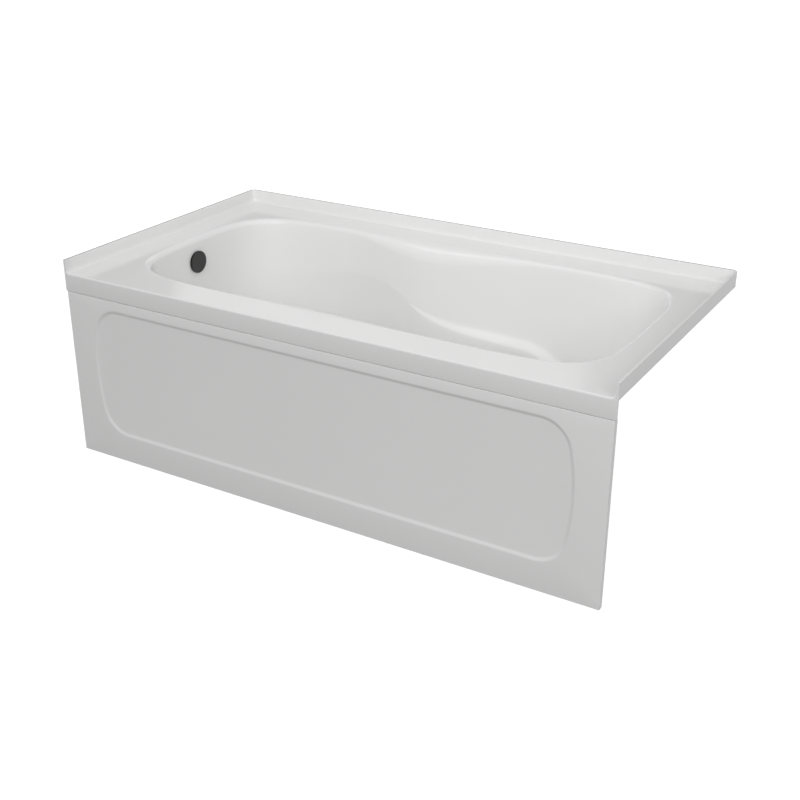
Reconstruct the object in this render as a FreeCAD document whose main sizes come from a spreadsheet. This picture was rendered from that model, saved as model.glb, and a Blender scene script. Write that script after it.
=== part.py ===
import FreeCAD, Part
import Sketcher
import math
import os

# Alcove bathtub, in millimetres.  The origin lies on the floor under the middle of the tub:
# +X runs along the tub from the drain end to the head end, +Y from the skirt to the back wall, +Z up.

doc = FreeCAD.newDocument("alcove_bathtub")
sheet = doc.addObject("Spreadsheet::Sheet", "dim")

SIZES = [
    # overall
    ("tub_length", 1524.0), ("tub_width", 812.8), ("tub_height", 546.1), ("deck_height", 510.0),
    ("skin", 4.0), ("backing", 3.0),
    # tiling flange and front lip
    ("flange_thick", 6.0), ("flange_cove", 10.0), ("corner_round", 14.0),
    ("lip_drop", 48.0), ("lip_round", 4.0),
    # rim of the well
    ("rim_drain_end", 88.0), ("rim_head_end", 82.0), ("rim_side", 93.4), ("rim_round", 14.0),
    ("drain_rim_long_power", 8.0), ("drain_rim_wide_power", 4.0), ("head_rim_long_power", 8.0),
    ("head_rim_wide_power", 5.0), ("floor_long_power", 4.0), ("floor_wide_power", 3.0),
    ("end_bow", 5.0),
    ("waist_x", -60.0), ("waist_round", 50.0), ("waist_foot_run", 300.0), ("waist_head_run", 380.0),
    # lean of the walls, as inset over depth
    ("side_lean", 0.14), ("side_lower_lean", 0.05), ("head_lean", 0.35), ("head_lower_lean", 0.55),
    ("drain_lean", 0.0), ("drain_lower_lean", 0.0),
    # soft fold along the side walls, which becomes the front edge of the armrest
    ("fold_crest_x", -250.0), ("fold_crest_z", 390.0), ("fold_step", 10.0),
    ("fold_foot_run", 290.0), ("fold_foot_fall", 62.0), ("fold_head_run", 150.0), ("fold_head_fall", 64.0),
    ("fold_slope", 0.045), ("fold_end_x", 290.0), ("fold_end_run", 220.0), ("fold_end_fall", 40.0),
    ("armrest_start_x", -116.0), ("armrest_run", 400.0), ("armrest_deep", 28.0), ("armrest_fall", 0.55),
    ("armrest_end_x", 450.0), ("armrest_end_run", 150.0),
    # floor of the well
    ("drain_x", -510.0), ("drain_z", 100.0), ("floor_slope", 0.012), ("floor_rise", 80.0),
    ("floor_ring", 20.0),
    ("side_fillet", 45.0), ("drain_fillet", 66.0), ("head_fillet", 130.0),
    # openings in the shell
    ("drain_hole_radius", 25.4), ("overflow_hole_radius", 27.0), ("overflow_z", 443.0),
    # skirt
    ("skirt_half", 759.0), ("skirt_thick", 3.5), ("skirt_top", 458.0), ("skirt_return", 15.0),
    ("tongue_half", 750.0), ("tongue_top", 500.0), ("tongue_base", 450.0), ("edge_round", 2.5),
    ("panel_half", 684.5), ("panel_low", 75.5), ("panel_high", 435.5), ("panel_deep", 3.5),
    ("panel_slope", 11.0), ("panel_corner", 80.0), ("panel_end_bow", 560.0),
    # timber frame
    ("rail_thick", 18.0), ("rail_wide", 50.0), ("rail_half", 700.0), ("end_rail_half", 330.0),
    ("end_rail_inset", 16.0), ("frame_face", 398.5),
    ("post_wide", 60.0), ("post_deep", 38.0), ("post_spread", 640.0),
    ("foot_rail_high", 60.0), ("foot_rail_half", 742.0),
    ("board_left", -390.0), ("board_right", 330.0), ("board_half", 150.0), ("board_low", 45.0),
    ("board_thick", 15.0), ("bedding_inset", 5.0), ("bedding_high", 55.0),
    ("bearer_first", -340.0), ("bearer_gap", 310.0), ("bearer_wide", 70.0), ("bearer_half", 170.0),
    ("brace_first", -185.0), ("brace_wide", 50.0), ("brace_thick", 18.0), ("brace_lap", 60.0),
    ("screw_radius", 2.5), ("screw_head", 4.5), ("screw_head_deep", 3.0), ("screw_spread", 110.0),
    ("bearer_screw", 40.0), ("brace_screw", 26.0), ("brace_screw_gap", 25.0),
    # waste pipes
    ("pipe_radius", 19.05), ("pipe_bore", 17.45), ("socket_bore", 19.35), ("socket_radius", 23.5),
    ("waste_x", -712.0), ("waste_z", 59.0), ("tail_low", 2.0), ("tee_low", 35.0), ("tee_top", 112.0),
    ("tee_seat", 90.0), ("tee_branch_seat", -692.0), ("tee_branch_end", -672.0),
    ("tube_low", 92.0), ("tube_top", 412.0),
    ("elbow_radius", 30.0), ("elbow_bore", 26.0), ("elbow_back", -742.0), ("elbow_wall", 4.0),
    ("spigot_low", 398.0), ("mouth_radius", 36.0), ("mouth_thick", 5.0), ("gasket_thick", 6.0),
    ("nut_radius", 28.0), ("nut_length", 24.0), ("nut_grip", 12.0), ("nut_play", 0.1),
    ("washer_thick", 3.0),
    ("shoe_radius", 27.0), ("shoe_bore", 23.6), ("shoe_low", 36.0), ("shoe_base", 4.0),
    ("shoe_flange_radius", 35.0), ("shoe_flange_thick", 6.0), ("drain_gasket_thick", 5.0),
    ("shoe_spigot_end", -572.0), ("shoe_spigot_seat", -550.0),
    ("shoe_tube_left", -690.0), ("shoe_tube_right", -552.0),
    # pull cable in its sheath
    ("cable_radius", 3.0), ("cable_x", -688.0), ("cable_y", -31.5), ("cable_z", 46.0),
    ("cable_bend", 60.0), ("cable_top", 420.0), ("cable_end", -535.0),
    ("boss_radius", 6.0), ("elbow_boss_long", 20.0), ("shoe_boss_long", 30.0),
    # overflow knob on its spindle, in its retainer
    ("knob_radius", 31.5), ("knob_thick", 4.0), ("knob_gap", 4.5), ("knob_round", 1.2),
    ("knob_hub_radius", 8.0), ("knob_hub_long", 3.0), ("spindle_radius", 4.0), ("spindle_end", -700.0),
    ("spindle_grip", 2.4), ("bearing_play", 0.05), ("crank_radius", 14.0), ("crank_thick", 5.0),
    ("retainer_radius", 30.5), ("retainer_barrel", 25.8), ("retainer_bore", 22.0),
    ("retainer_flange", 1.5), ("retainer_film", 0.15), ("retainer_long", 28.0), ("hub_radius", 8.0),
    ("hub_back", 16.0), ("hub_front", 6.0), ("spoke_wide", 4.0),
    # drain flange and stopper
    ("seat_radius", 34.0), ("seat_thick", 2.5), ("seat_lift", 0.6), ("barrel_radius", 23.5),
    ("barrel_bore", 20.0), ("barrel_low", 76.0), ("guide_low", 84.0), ("guide_high", 92.0),
    ("cap_radius", 27.0), ("cap_thick", 4.0), ("cap_edge", 2.0), ("cap_low", 104.5),
    ("stem_radius", 4.0), ("stem_low", 72.0), ("seal_thick", 1.2), ("seal_radius", 24.5),
    ("pin_radius", 3.5), ("pin_low", 42.0), ("pin_boss_radius", 8.0), ("pin_boss_top", 54.0),
]
for row, (alias, number) in enumerate(SIZES, start=1):
    sheet.set(f"A{row}", alias)
    sheet.set(f"B{row}", str(number))
    sheet.setAlias(f"B{row}", alias)
doc.recompute()

SIZE = {alias: float(sheet.get(alias)) for alias, _ in SIZES}
V = FreeCAD.Vector
pieces = {}


# ---------------------------------------------------------------- helpers

def number_of(rule):
    """Number that a rule on the sheet gives."""
    return float(sheet.evalExpression(rule))


def place(obj, x, y, z):
    """Bind the three coordinates of an object's placement to rules on the sheet."""
    for axis, rule in zip("xyz", (x, y, z)):
        obj.setExpression("Placement.Base." + axis, rule)


def block(name, x_span, y_span, z_span):
    """Box between two rules on each axis."""
    obj = doc.addObject("Part::Box", name)
    for prop, (low, high) in zip(("Length", "Width", "Height"), (x_span, y_span, z_span)):
        obj.setExpression(prop, f"({high}) - ({low})")
    place(obj, x_span[0], y_span[0], z_span[0])
    return obj


TURN = {"x": FreeCAD.Rotation(V(0, 1, 0), 90), "z": FreeCAD.Rotation()}


def along(obj, axis, span, centre):
    """Stand an object that grows along its own Z between two rules on the x or z axis."""
    obj.setExpression("Height", f"({span[1]}) - ({span[0]})")
    obj.Placement = FreeCAD.Placement(V(0, 0, 0), TURN[axis])
    coordinates = list(centre)
    coordinates.insert("xyz".index(axis), span[0])
    place(obj, *coordinates)
    return obj


def rod(name, axis, radius, span, centre):
    """Cylinder along an axis; the centre gives its other two coordinates."""
    obj = doc.addObject("Part::Cylinder", name)
    obj.setExpression("Radius", radius)
    return along(obj, axis, span, centre)


def octagon(name, axis, radius, span, centre):
    """Eight-sided prism along an axis."""
    obj = doc.addObject("Part::Prism", name)
    obj.Polygon = 8
    obj.setExpression("Circumradius", radius)
    return along(obj, axis, span, centre)


def cut(name, base, tool):
    obj = doc.addObject("Part::Cut", name)
    obj.Base = base
    obj.Tool = tool
    return obj


def join(name, *shapes):
    obj = doc.addObject("Part::MultiFuse", name)
    obj.Shapes = list(shapes)
    return obj


def group(name, members):
    obj = doc.addObject("Part::Compound", name)
    obj.Links = list(members)
    return obj


def ring(name, axis, radius, bore, span, centre):
    """Tube or washer along an axis."""
    outside = rod(name + "_outside", axis, radius, span, centre)
    inside = rod(name + "_inside", axis, bore, span, centre)
    return cut(name, outside, inside)


def fillet(name, base, radius, wanted):
    """Round those edges of the base whose bounding box passes the test."""
    doc.recompute()
    obj = doc.addObject("Part::Fillet", name)
    obj.Base = base
    edges = enumerate(base.Shape.Edges, start=1)
    obj.Edges = [(number, radius, radius) for number, edge in edges if wanted(edge.BoundBox)]
    return obj


def turned(name, corners):
    """Body turned about its own Z axis; the corners of its profile are (radius, height) rules."""
    body = doc.addObject("PartDesign::Body", name)
    sketch = body.newObject("Sketcher::SketchObject", name + "_profile")
    plane = next(f for f in body.Origin.OriginFeatures if f.Role == "XZ_Plane")
    sketch.AttachmentSupport = [(plane, "")]
    sketch.MapMode = "FlatFace"
    points = [V(number_of(r), number_of(z), 0) for r, z in corners]
    for start, end in zip(points, points[1:] + points[:1]):
        sketch.addGeometry(Part.LineSegment(start, end), False)
    count = len(points)
    for i in range(count):
        sketch.addConstraint(Sketcher.Constraint("Coincident", i, 2, (i + 1) % count, 1))
    for i, ((r, z), point) in enumerate(zip(corners, points)):
        for kind, rule, number, axis in (("DistanceX", r, point.x, -2), ("DistanceY", z, point.y, -1)):
            if abs(number) < 1e-6:
                sketch.addConstraint(Sketcher.Constraint("PointOnObject", i, 1, axis))
            else:
                index = sketch.addConstraint(Sketcher.Constraint(kind, -1, 1, i, 1, number))
                sketch.setExpression(f"Constraints[{index}]", rule)
    turn = body.newObject("PartDesign::Revolution", name + "_turn")
    turn.Profile = sketch
    turn.ReferenceAxis = (sketch, ["V_Axis"])
    turn.Angle = 360
    body.Tip = turn
    return body


def piece(name, obj):
    """Name an object as one physical piece of the tub."""
    obj.Label = name
    pieces[name] = obj
    return obj


# ---------------------------------------------------------------- form of the well

ROUND_STEPS = 6
WALL_STEPS = 4
FOLD_STEPS = 4
LOWER_STEPS = 3
FILLET_STEPS = 6
FLOOR_STEPS = (0.2, 0.5, 0.8, 1.0)
COLUMNS = 96


def ease(t):
    """Smooth step from 0 to 1."""
    t = min(1.0, max(0.0, t))
    return t * t * (3.0 - 2.0 * t)


def waist(x):
    """Swell of the side walls at the waist: 1 at the waist, falling smoothly to 0 on both sides."""
    offset = x - SIZE["waist_x"]
    run = SIZE["waist_head_run"] if offset > 0 else SIZE["waist_foot_run"]
    return 1.0 - ease(abs(offset) / run)


def fold_height(x):
    """Height of the fold along the side walls: a crest that falls away like a bell on both sides.

    Towards the head end the fold then slopes gently on, and dips under the backrest.
    """
    offset = x - SIZE["fold_crest_x"]
    if offset < 0:
        fall = SIZE["fold_foot_fall"] * (1.0 - math.exp(-(offset / SIZE["fold_foot_run"]) ** 2))
    else:
        fall = SIZE["fold_head_fall"] + SIZE["fold_slope"] * offset
        fall *= 1.0 - math.exp(-(offset / SIZE["fold_head_run"]) ** 2)
        fall += SIZE["fold_end_fall"] * ease((x - SIZE["fold_end_x"]) / SIZE["fold_end_run"])
    return SIZE["fold_crest_z"] - fall


def armrest(x):
    """Width of the armrest: a sharp tip that widens towards the head end, gone at the backrest."""
    t = min(1.0, max(0.0, (x - SIZE["armrest_start_x"]) / SIZE["armrest_run"]))
    grow = (3.0 * t - t ** 3) / 2.0
    fade = 1.0 - ease((x - SIZE["armrest_end_x"]) / SIZE["armrest_end_run"])
    return SIZE["armrest_deep"] * grow * fade


def floor_height(x, y):
    """Height of the floor: a shallow cone that falls to the drain."""
    return SIZE["drain_z"] + SIZE["floor_slope"] * math.hypot(x - SIZE["drain_x"], y)


def wall_profile(x, depth, rim, lean, lower_lean, fillet, shelf=None):
    """Insets and depths down one wall: rim arc, wall, fold, lower wall and floor fillet.

    A wall with a shelf folds there from its lean to its lower lean; one without bends smoothly from
    the one to the other.  The fillet is a parabola that touches both the wall and the level floor.
    """
    last = math.pi / 2 - math.atan(lean)
    rows = []
    for k in range(ROUND_STEPS):
        angle = last * k / (ROUND_STEPS - 1)
        rows.append((rim * math.sin(angle), rim * (1 - math.cos(angle))))
    inset, start = rows[-1]
    fold = SIZE["deck_height"] - fold_height(x)
    drop = SIZE["fold_step"] + SIZE["armrest_fall"] * (shelf or 0.0)
    foot = depth - SIZE["floor_rise"]
    stops = [start + (fold - start) * k / WALL_STEPS for k in range(1, WALL_STEPS + 1)]
    stops += [fold + drop * k / FOLD_STEPS for k in range(1, FOLD_STEPS + 1)]
    stops += [fold + drop + (foot - fold - drop) * k / LOWER_STEPS for k in range(1, LOWER_STEPS + 1)]
    for down in stops:
        if shelf is None:
            bend = (lower_lean - lean) * (down - start) ** 2 / (2 * (foot - start))
            rows.append((inset + lean * (down - start) + bend, down))
        else:
            out = shelf * ease((down - fold) / drop) + lower_lean * max(0.0, down - fold)
            rows.append((inset + lean * (min(down, fold) - start) + out, down))
    inset = rows[-1][0]
    for k in range(1, FILLET_STEPS + 1):
        t = k / FILLET_STEPS
        rows.append((inset + 2 * t * (1 - t) * lower_lean * SIZE["floor_rise"] + t * t * fillet,
                     foot + SIZE["floor_rise"] * (2 * t - t * t)))
    return rows


def square_stretch(across, up, long_power, wide_power):
    """Stretch s for which |s across|^long_power + |s up|^wide_power is 1, found by Newton's rule."""
    stretch = 1.0
    for _ in range(20):
        long_part = (stretch * abs(across)) ** long_power
        wide_part = (stretch * abs(up)) ** wide_power
        slope = (long_power * long_part + wide_power * wide_part) / stretch
        stretch -= (long_part + wide_part - 1.0) / slope
    return stretch


def wall_points(turn, depth):
    """Points down the wall, from the rim to the floor, in the direction given by an angle round it.

    Each ring is a squared ellipse whose half-length and half-width shrink by the insets of the end
    wall and the side wall; the depth of a point blends the depths of those two walls.
    """
    left = -SIZE["tub_length"] / 2 + SIZE["rim_drain_end"]
    right = SIZE["tub_length"] / 2 - SIZE["rim_head_end"]
    middle = (left + right) / 2
    half_long = (right - left) / 2
    half_wide = SIZE["tub_width"] / 2 - SIZE["rim_side"]
    across, up = math.cos(turn), math.sin(turn)
    side = 1 if across > 0 else -1
    end = "head" if across > 0 else "drain"

    def stretch_at(down):
        part = down / (SIZE["deck_height"] - SIZE["drain_z"])
        powers = []
        for direction in ("long", "wide"):
            rim_power = SIZE[f"{end}_rim_{direction}_power"]
            powers.append(rim_power + (SIZE[f"floor_{direction}_power"] - rim_power) * part)
        return square_stretch(across, up, *powers), powers[1]

    stretch, wide_power = stretch_at(0.0)
    x_rim = middle + half_long * across * stretch
    side_share = abs(up * stretch) ** wide_power
    swell = SIZE["rim_round"] + (SIZE["waist_round"] - SIZE["rim_round"]) * waist(x_rim)
    side_wall = wall_profile(x_rim, depth, swell, SIZE["side_lean"], SIZE["side_lower_lean"],
                             SIZE["side_fillet"], armrest(x_rim))
    end_wall = wall_profile(x_rim, depth, SIZE["rim_round"], SIZE[end + "_lean"],
                            SIZE[end + "_lower_lean"], SIZE[end + "_fillet"])
    points = []
    for (side_in, side_down), (end_in, end_down) in zip(side_wall, end_wall):
        down = side_share * side_down + (1 - side_share) * end_down
        stretch, wide_power = stretch_at(down)
        y = (half_wide - side_in) * up * stretch
        bow = SIZE["end_bow"] * (y / half_wide) ** 2 * (1 - side_share)
        x = middle + side * ((half_long - end_in) * abs(across) * stretch - bow)
        points.append(V(x, y, SIZE["deck_height"] - down))
    return points


def well_column(turn):
    """Points down the wall and on over the floor to a small ring round the drain."""
    edge = wall_points(turn, SIZE["deck_height"] - SIZE["drain_z"])[-1]
    points = wall_points(turn, SIZE["deck_height"] - floor_height(edge.x, edge.y))
    edge = points[-1]
    ring_x = SIZE["drain_x"] + SIZE["floor_ring"] * math.cos(turn)
    ring_y = SIZE["floor_ring"] * math.sin(turn)
    for part in FLOOR_STEPS:
        x = edge.x + (ring_x - edge.x) * part
        y = edge.y + (ring_y - edge.y) * part
        points.append(V(x, y, floor_height(x, y)))
    return points


def offset_grid(grid, distance):
    """Move every point of a grid of columns off its surface, away from the inside of the well."""
    columns, rows = len(grid), len(grid[0])
    moved = []
    for i in range(columns):
        column = []
        for j in range(rows):
            round_way = grid[(i + 1) % columns][j] - grid[i - 1][j]
            down_way = grid[i][min(j + 1, rows - 1)] - grid[i][max(j - 1, 0)]
            normal = down_way.cross(round_way)
            normal.normalize()
            if j in (0, rows - 1):
                normal = V(0, 0, -1)
            column.append(grid[i][j] + normal * distance)
        moved.append(column)
    return moved


def bowl(name, distance):
    """Solid that fills the well, its wall lying the given distance outside the inner surface."""
    grid = offset_grid(WELL, distance)
    rows = len(grid[0])
    surface = Part.BSplineSurface()
    surface.buildFromPolesMultsKnots(grid, [1] * (COLUMNS + 1), [4] + [1] * (rows - 4) + [4],
                                     list(range(COLUMNS + 1)), list(range(rows - 2)),
                                     True, False, 3, 3)
    wall = surface.toShape()
    rims = sorted((e for e in wall.Edges if e.isClosed()), key=lambda e: e.BoundBox.ZMax)
    lids = [Part.Face(Part.Wire([rims[0]])), Part.Face(Part.Wire([rims[-1]]))]
    skin = Part.makeCompound([wall] + lids)
    skin.sewShape()
    obj = doc.addObject("Part::Feature", name)
    obj.Shape = Part.Solid(skin)
    return obj


WELL = [well_column(2 * math.pi * k / COLUMNS) for k in range(COLUMNS)]
well_inside = bowl("well_inside", 0.0)
well_outside = bowl("well_outside", SIZE["skin"])
backing_outside = bowl("backing_outside", SIZE["skin"] + SIZE["backing"])


# ---------------------------------------------------------------- tub shell and its backing

HALF_LONG = "dim.tub_length / 2"
HALF_WIDE = "dim.tub_width / 2"
END_WALL = "dim.rim_drain_end + dim.rim_round - dim.tub_length / 2"
BACK_OF_WALL = END_WALL + " - dim.skin - dim.backing"
DECK_UNDER = "dim.deck_height - dim.skin"
OVERFLOW = ("0", "dim.overflow_z")
DRAIN = ("dim.drain_x", "0")

deck_block = block("deck_block", ("-" + HALF_LONG, HALF_LONG), ("-" + HALF_WIDE, HALF_WIDE),
                   (DECK_UNDER, "dim.tub_height"))
deck_rounded = fillet("deck_rounded", deck_block, SIZE["corner_round"],
                      lambda box: box.ZLength > 1 and box.YMin > 0)
flange_space = block("flange_space",
                     ("dim.flange_thick - " + HALF_LONG, HALF_LONG + " - dim.flange_thick"),
                     ("-" + HALF_WIDE + " - dim.corner_round * 2", HALF_WIDE + " - dim.flange_thick"),
                     ("dim.deck_height", "dim.tub_height + dim.corner_round"))
cove_tool = fillet("cove_tool", flange_space, SIZE["flange_cove"],
                   lambda box: (box.ZLength > 1 and box.YMin > 0) or
                   (box.ZMax < SIZE["deck_height"] + 1 and
                    not (box.YMax < 0 and box.XLength > 1)))
lip = block("lip", ("-" + HALF_LONG, HALF_LONG), ("-" + HALF_WIDE, "dim.skin - " + HALF_WIDE),
            ("dim.deck_height - dim.lip_drop", DECK_UNDER))
deck_and_lip = join("deck_and_lip", cut("deck_and_flange", deck_rounded, cove_tool), lip)
deck_and_lip.Refine = True
deck_edged = fillet("deck_edged", deck_and_lip, SIZE["lip_round"],
                    lambda box: box.YMax < 1 - SIZE["tub_width"] / 2 and box.XLength > 1000
                    and abs(box.ZMax - SIZE["deck_height"]) < 1)
deck_with_bowl = join("deck_with_bowl", deck_edged, well_outside)
overflow_hole = rod("overflow_hole", "x", "dim.overflow_hole_radius",
                    (BACK_OF_WALL + " - dim.knob_gap", END_WALL + " + dim.knob_gap"), OVERFLOW)
drain_hole = rod("drain_hole", "z", "dim.drain_hole_radius",
                 ("dim.drain_z - dim.shoe_flange_radius", "dim.drain_z + dim.shoe_flange_radius"), DRAIN)
shell_spaces = join("shell_spaces", well_inside, overflow_hole, drain_hole)
piece("tub_shell", cut("tub_shell", deck_with_bowl, shell_spaces))

backing_spaces = join("backing_spaces", well_outside, overflow_hole, drain_hole)
piece("fibreglass_backing", cut("fibreglass_backing", backing_outside, backing_spaces))


# ---------------------------------------------------------------- front skirt

FRONT = "-" + HALF_WIDE


def panel_outline(grow, y):
    """Closed wire of the recessed panel: straight long sides, bowed ends, rounded corners.

    The corner arcs touch the long sides and the end arcs, so their centres follow from the radii.
    """
    low = SIZE["panel_low"] - grow
    high = SIZE["panel_high"] + grow
    middle = (low + high) / 2
    end_radius = SIZE["panel_end_bow"]
    corner = SIZE["panel_corner"] + grow
    end_x = SIZE["panel_half"] + grow - end_radius
    rise = high - corner - middle
    corner_x = end_x + math.sqrt((end_radius - corner) ** 2 - rise ** 2)
    lean = math.atan2(rise, corner_x - end_x)
    bend = (lean + math.pi / 2) / 2

    def on_circle(x, z, radius, angle):
        return V(x + radius * math.cos(angle), y, z + radius * math.sin(angle))

    top = V(corner_x, y, high)
    corner_mid = on_circle(corner_x, middle + rise, corner, bend)
    corner_end = on_circle(corner_x, middle + rise, corner, lean)
    end_mid = V(end_x + end_radius, y, middle)

    def mirror(p, x_side, z_side):
        return V(p.x * x_side, p.y, middle + (p.z - middle) * z_side)

    edges = []
    for x_side, z_side in ((1, 1), (1, -1), (-1, -1), (-1, 1)):
        edges.append(Part.Arc(mirror(top, x_side, z_side), mirror(corner_mid, x_side, z_side),
                              mirror(corner_end, x_side, z_side)).toShape())
    for x_side in (1, -1):
        edges.append(Part.Arc(mirror(corner_end, x_side, 1), mirror(end_mid, x_side, 1),
                              mirror(corner_end, x_side, -1)).toShape())
    for z_side in (1, -1):
        edges.append(Part.LineSegment(mirror(top, -1, z_side), mirror(top, 1, z_side)).toShape())
    obj = doc.addObject("Part::Feature", "panel_outline")
    obj.Shape = Part.Wire(Part.__sortEdges__(edges))
    return obj


def panel_form(name, grow, y_front):
    """Shallow dish between the panel's outer outline and its inner one."""
    obj = doc.addObject("Part::Loft", name)
    obj.Sections = [panel_outline(grow, y_front),
                    panel_outline(grow - SIZE["panel_slope"], y_front + SIZE["panel_deep"])]
    obj.Solid = True
    obj.Ruled = True
    return obj


face_y = -SIZE["tub_width"] / 2
panel_recess = panel_form("panel_recess", 0.0, face_y)
panel_back = panel_form("panel_back", SIZE["skirt_thick"], face_y + SIZE["skirt_thick"])

skirt_sheet = block("skirt_sheet", ("-dim.skirt_half", "dim.skirt_half"),
                    (FRONT, FRONT + " + dim.skirt_thick"), ("0", "dim.skirt_top"))
returns = [block("skirt_return", span, (FRONT, FRONT + " + dim.skirt_return"), ("0", "dim.skirt_top"))
           for span in (("-dim.skirt_half", "dim.skirt_thick - dim.skirt_half"),
                        ("dim.skirt_half - dim.skirt_thick", "dim.skirt_half"))]
skirt_web = block("skirt_web", ("-dim.tongue_half", "dim.tongue_half"),
                  (FRONT, FRONT + " + dim.skin + dim.skirt_thick"), ("dim.tongue_base", "dim.skirt_top"))
skirt_tongue = block("skirt_tongue", ("-dim.tongue_half", "dim.tongue_half"),
                     (FRONT + " + dim.skin", FRONT + " + dim.skin + dim.skirt_thick"),
                     ("dim.tongue_base", "dim.tongue_top"))
skirt_blank = join("skirt_blank", skirt_sheet, *returns, skirt_web, skirt_tongue)
skirt_blank.Refine = True
skirt_rounded = fillet("skirt_rounded", skirt_blank, SIZE["edge_round"],
                       lambda box: box.YMax < face_y + 0.1 and box.ZMax > 1)
skirt_dished = join("skirt_dished", skirt_rounded, panel_back)
piece("front_skirt", cut("front_skirt", skirt_dished, panel_recess))


# ---------------------------------------------------------------- timber frame

RAIL_SPAN = (DECK_UNDER + " - dim.rail_thick", DECK_UNDER)
RAIL_BACK = HALF_WIDE + " - dim.flange_thick"

piece("front_deck_rail", block("front_deck_rail", ("-dim.rail_half", "dim.rail_half"),
                               ("-dim.frame_face", "dim.rail_wide - dim.frame_face"), RAIL_SPAN))
piece("back_deck_rail", block("back_deck_rail", ("-dim.rail_half", "dim.rail_half"),
                              (RAIL_BACK + " - dim.rail_wide", RAIL_BACK), RAIL_SPAN))
END_OUT = HALF_LONG + " - dim.end_rail_inset"
END_IN = HALF_LONG + " - dim.end_rail_inset - dim.rail_wide"
piece("drain_end_rail", block("drain_end_rail", (f"-({END_OUT})", f"-({END_IN})"),
                              ("-dim.end_rail_half", "dim.end_rail_half"), RAIL_SPAN))
piece("head_end_rail", block("head_end_rail", (END_IN, END_OUT),
                             ("-dim.end_rail_half", "dim.end_rail_half"), RAIL_SPAN))

SKIRT_BACK = FRONT + " + dim.skirt_thick"
piece("skirt_foot_rail", block("skirt_foot_rail", ("-dim.foot_rail_half", "dim.foot_rail_half"),
                               (SKIRT_BACK, SKIRT_BACK + " + dim.post_deep"), ("0", "dim.foot_rail_high")))
for name, centre in (("skirt_post_drain_end", "-dim.post_spread"), ("skirt_post_middle", "0"),
                     ("skirt_post_head_end", "dim.post_spread")):
    piece(name, block(name, (centre + " - dim.post_wide / 2", centre + " + dim.post_wide / 2"),
                      ("-dim.frame_face", "dim.post_deep - dim.frame_face"),
                      ("dim.foot_rail_high", RAIL_SPAN[0])))


# ---------------------------------------------------------------- base under the well

BOARD_TOP = "dim.board_low + dim.board_thick"


def screw(name, x, y, low, high, head_up):
    """Flat-headed screw standing at (x, y), its head at the top or the bottom."""
    head_span = (f"{high} - dim.screw_head_deep", high) if head_up else (low, f"{low} + dim.screw_head_deep")
    return join(name, rod(name + "_shank", "z", "dim.screw_radius", (low, high), (x, y)),
                rod(name + "_head", "z", "dim.screw_head", head_span, (x, y)))


bearer_rows = [f"dim.bearer_first + {k} * dim.bearer_gap" for k in range(3)]
brace_rows = [f"dim.brace_first + {k} * dim.bearer_gap" for k in range(2)]
bearer_screws = [screw("bearer_screw", x, y, BOARD_TOP + " - dim.bearer_screw", BOARD_TOP, True)
                 for x in bearer_rows for y in ("-dim.screw_spread", "dim.screw_spread")]
BRACE_LOW = "dim.board_low - dim.brace_thick"
brace_screws = [screw("brace_screw", x, f"{offset} - dim.screw_spread", BRACE_LOW,
                      BRACE_LOW + " + dim.brace_screw", False)
                for x in brace_rows for offset in ("0", "-dim.brace_screw_gap")]
piece("bearer_screws", group("bearer_screws", bearer_screws))
piece("brace_screws", group("brace_screws", brace_screws))

board_blank = block("board_blank", ("dim.board_left", "dim.board_right"),
                    ("-dim.board_half", "dim.board_half"), ("dim.board_low", BOARD_TOP))
piece("base_board", cut("base_board", board_blank, join("board_screws", *bearer_screws, *brace_screws)))
for name, x, k in zip(("base_bearer_drain_end", "base_bearer_middle", "base_bearer_head_end"),
                      bearer_rows, range(3)):
    blank = block(name + "_blank", (x + " - dim.bearer_wide / 2", x + " + dim.bearer_wide / 2"),
                  ("-dim.bearer_half", "dim.bearer_half"), ("0", "dim.board_low"))
    piece(name, cut(name, blank, join(name + "_screws", *bearer_screws[2 * k:2 * k + 2])))
for name, x, k in zip(("skirt_brace_drain_end", "skirt_brace_head_end"), brace_rows, range(2)):
    blank = block(name + "_blank", (x + " - dim.brace_wide / 2", x + " + dim.brace_wide / 2"),
                  (SKIRT_BACK + " + dim.post_deep", "dim.brace_lap - dim.board_half"),
                  (BRACE_LOW, "dim.board_low"))
    piece(name, cut(name, blank, join(name + "_screws", *brace_screws[2 * k:2 * k + 2])))

bedding_blank = block("bedding_blank",
                      ("dim.board_left + dim.bedding_inset", "dim.board_right - dim.bedding_inset"),
                      ("dim.bedding_inset - dim.board_half", "dim.board_half - dim.bedding_inset"),
                      (BOARD_TOP, BOARD_TOP + " + dim.bedding_high"))
piece("floor_bedding", cut("floor_bedding", bedding_blank, backing_outside))


# ---------------------------------------------------------------- waste pipes

WASTE = ("dim.waste_x", "0")
LEVEL = ("0", "dim.waste_z")
CABLE_DOWN = ("dim.cable_x", "dim.cable_y")
CABLE_ALONG = ("dim.cable_y", "dim.cable_z")

MOUTH_FACE = BACK_OF_WALL + " - dim.gasket_thick"
MOUTH_BACK = MOUTH_FACE + " - dim.mouth_thick"
piece("overflow_gasket", ring("overflow_gasket", "x", "dim.mouth_radius", "dim.elbow_bore",
                              (MOUTH_FACE, BACK_OF_WALL), OVERFLOW))

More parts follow.
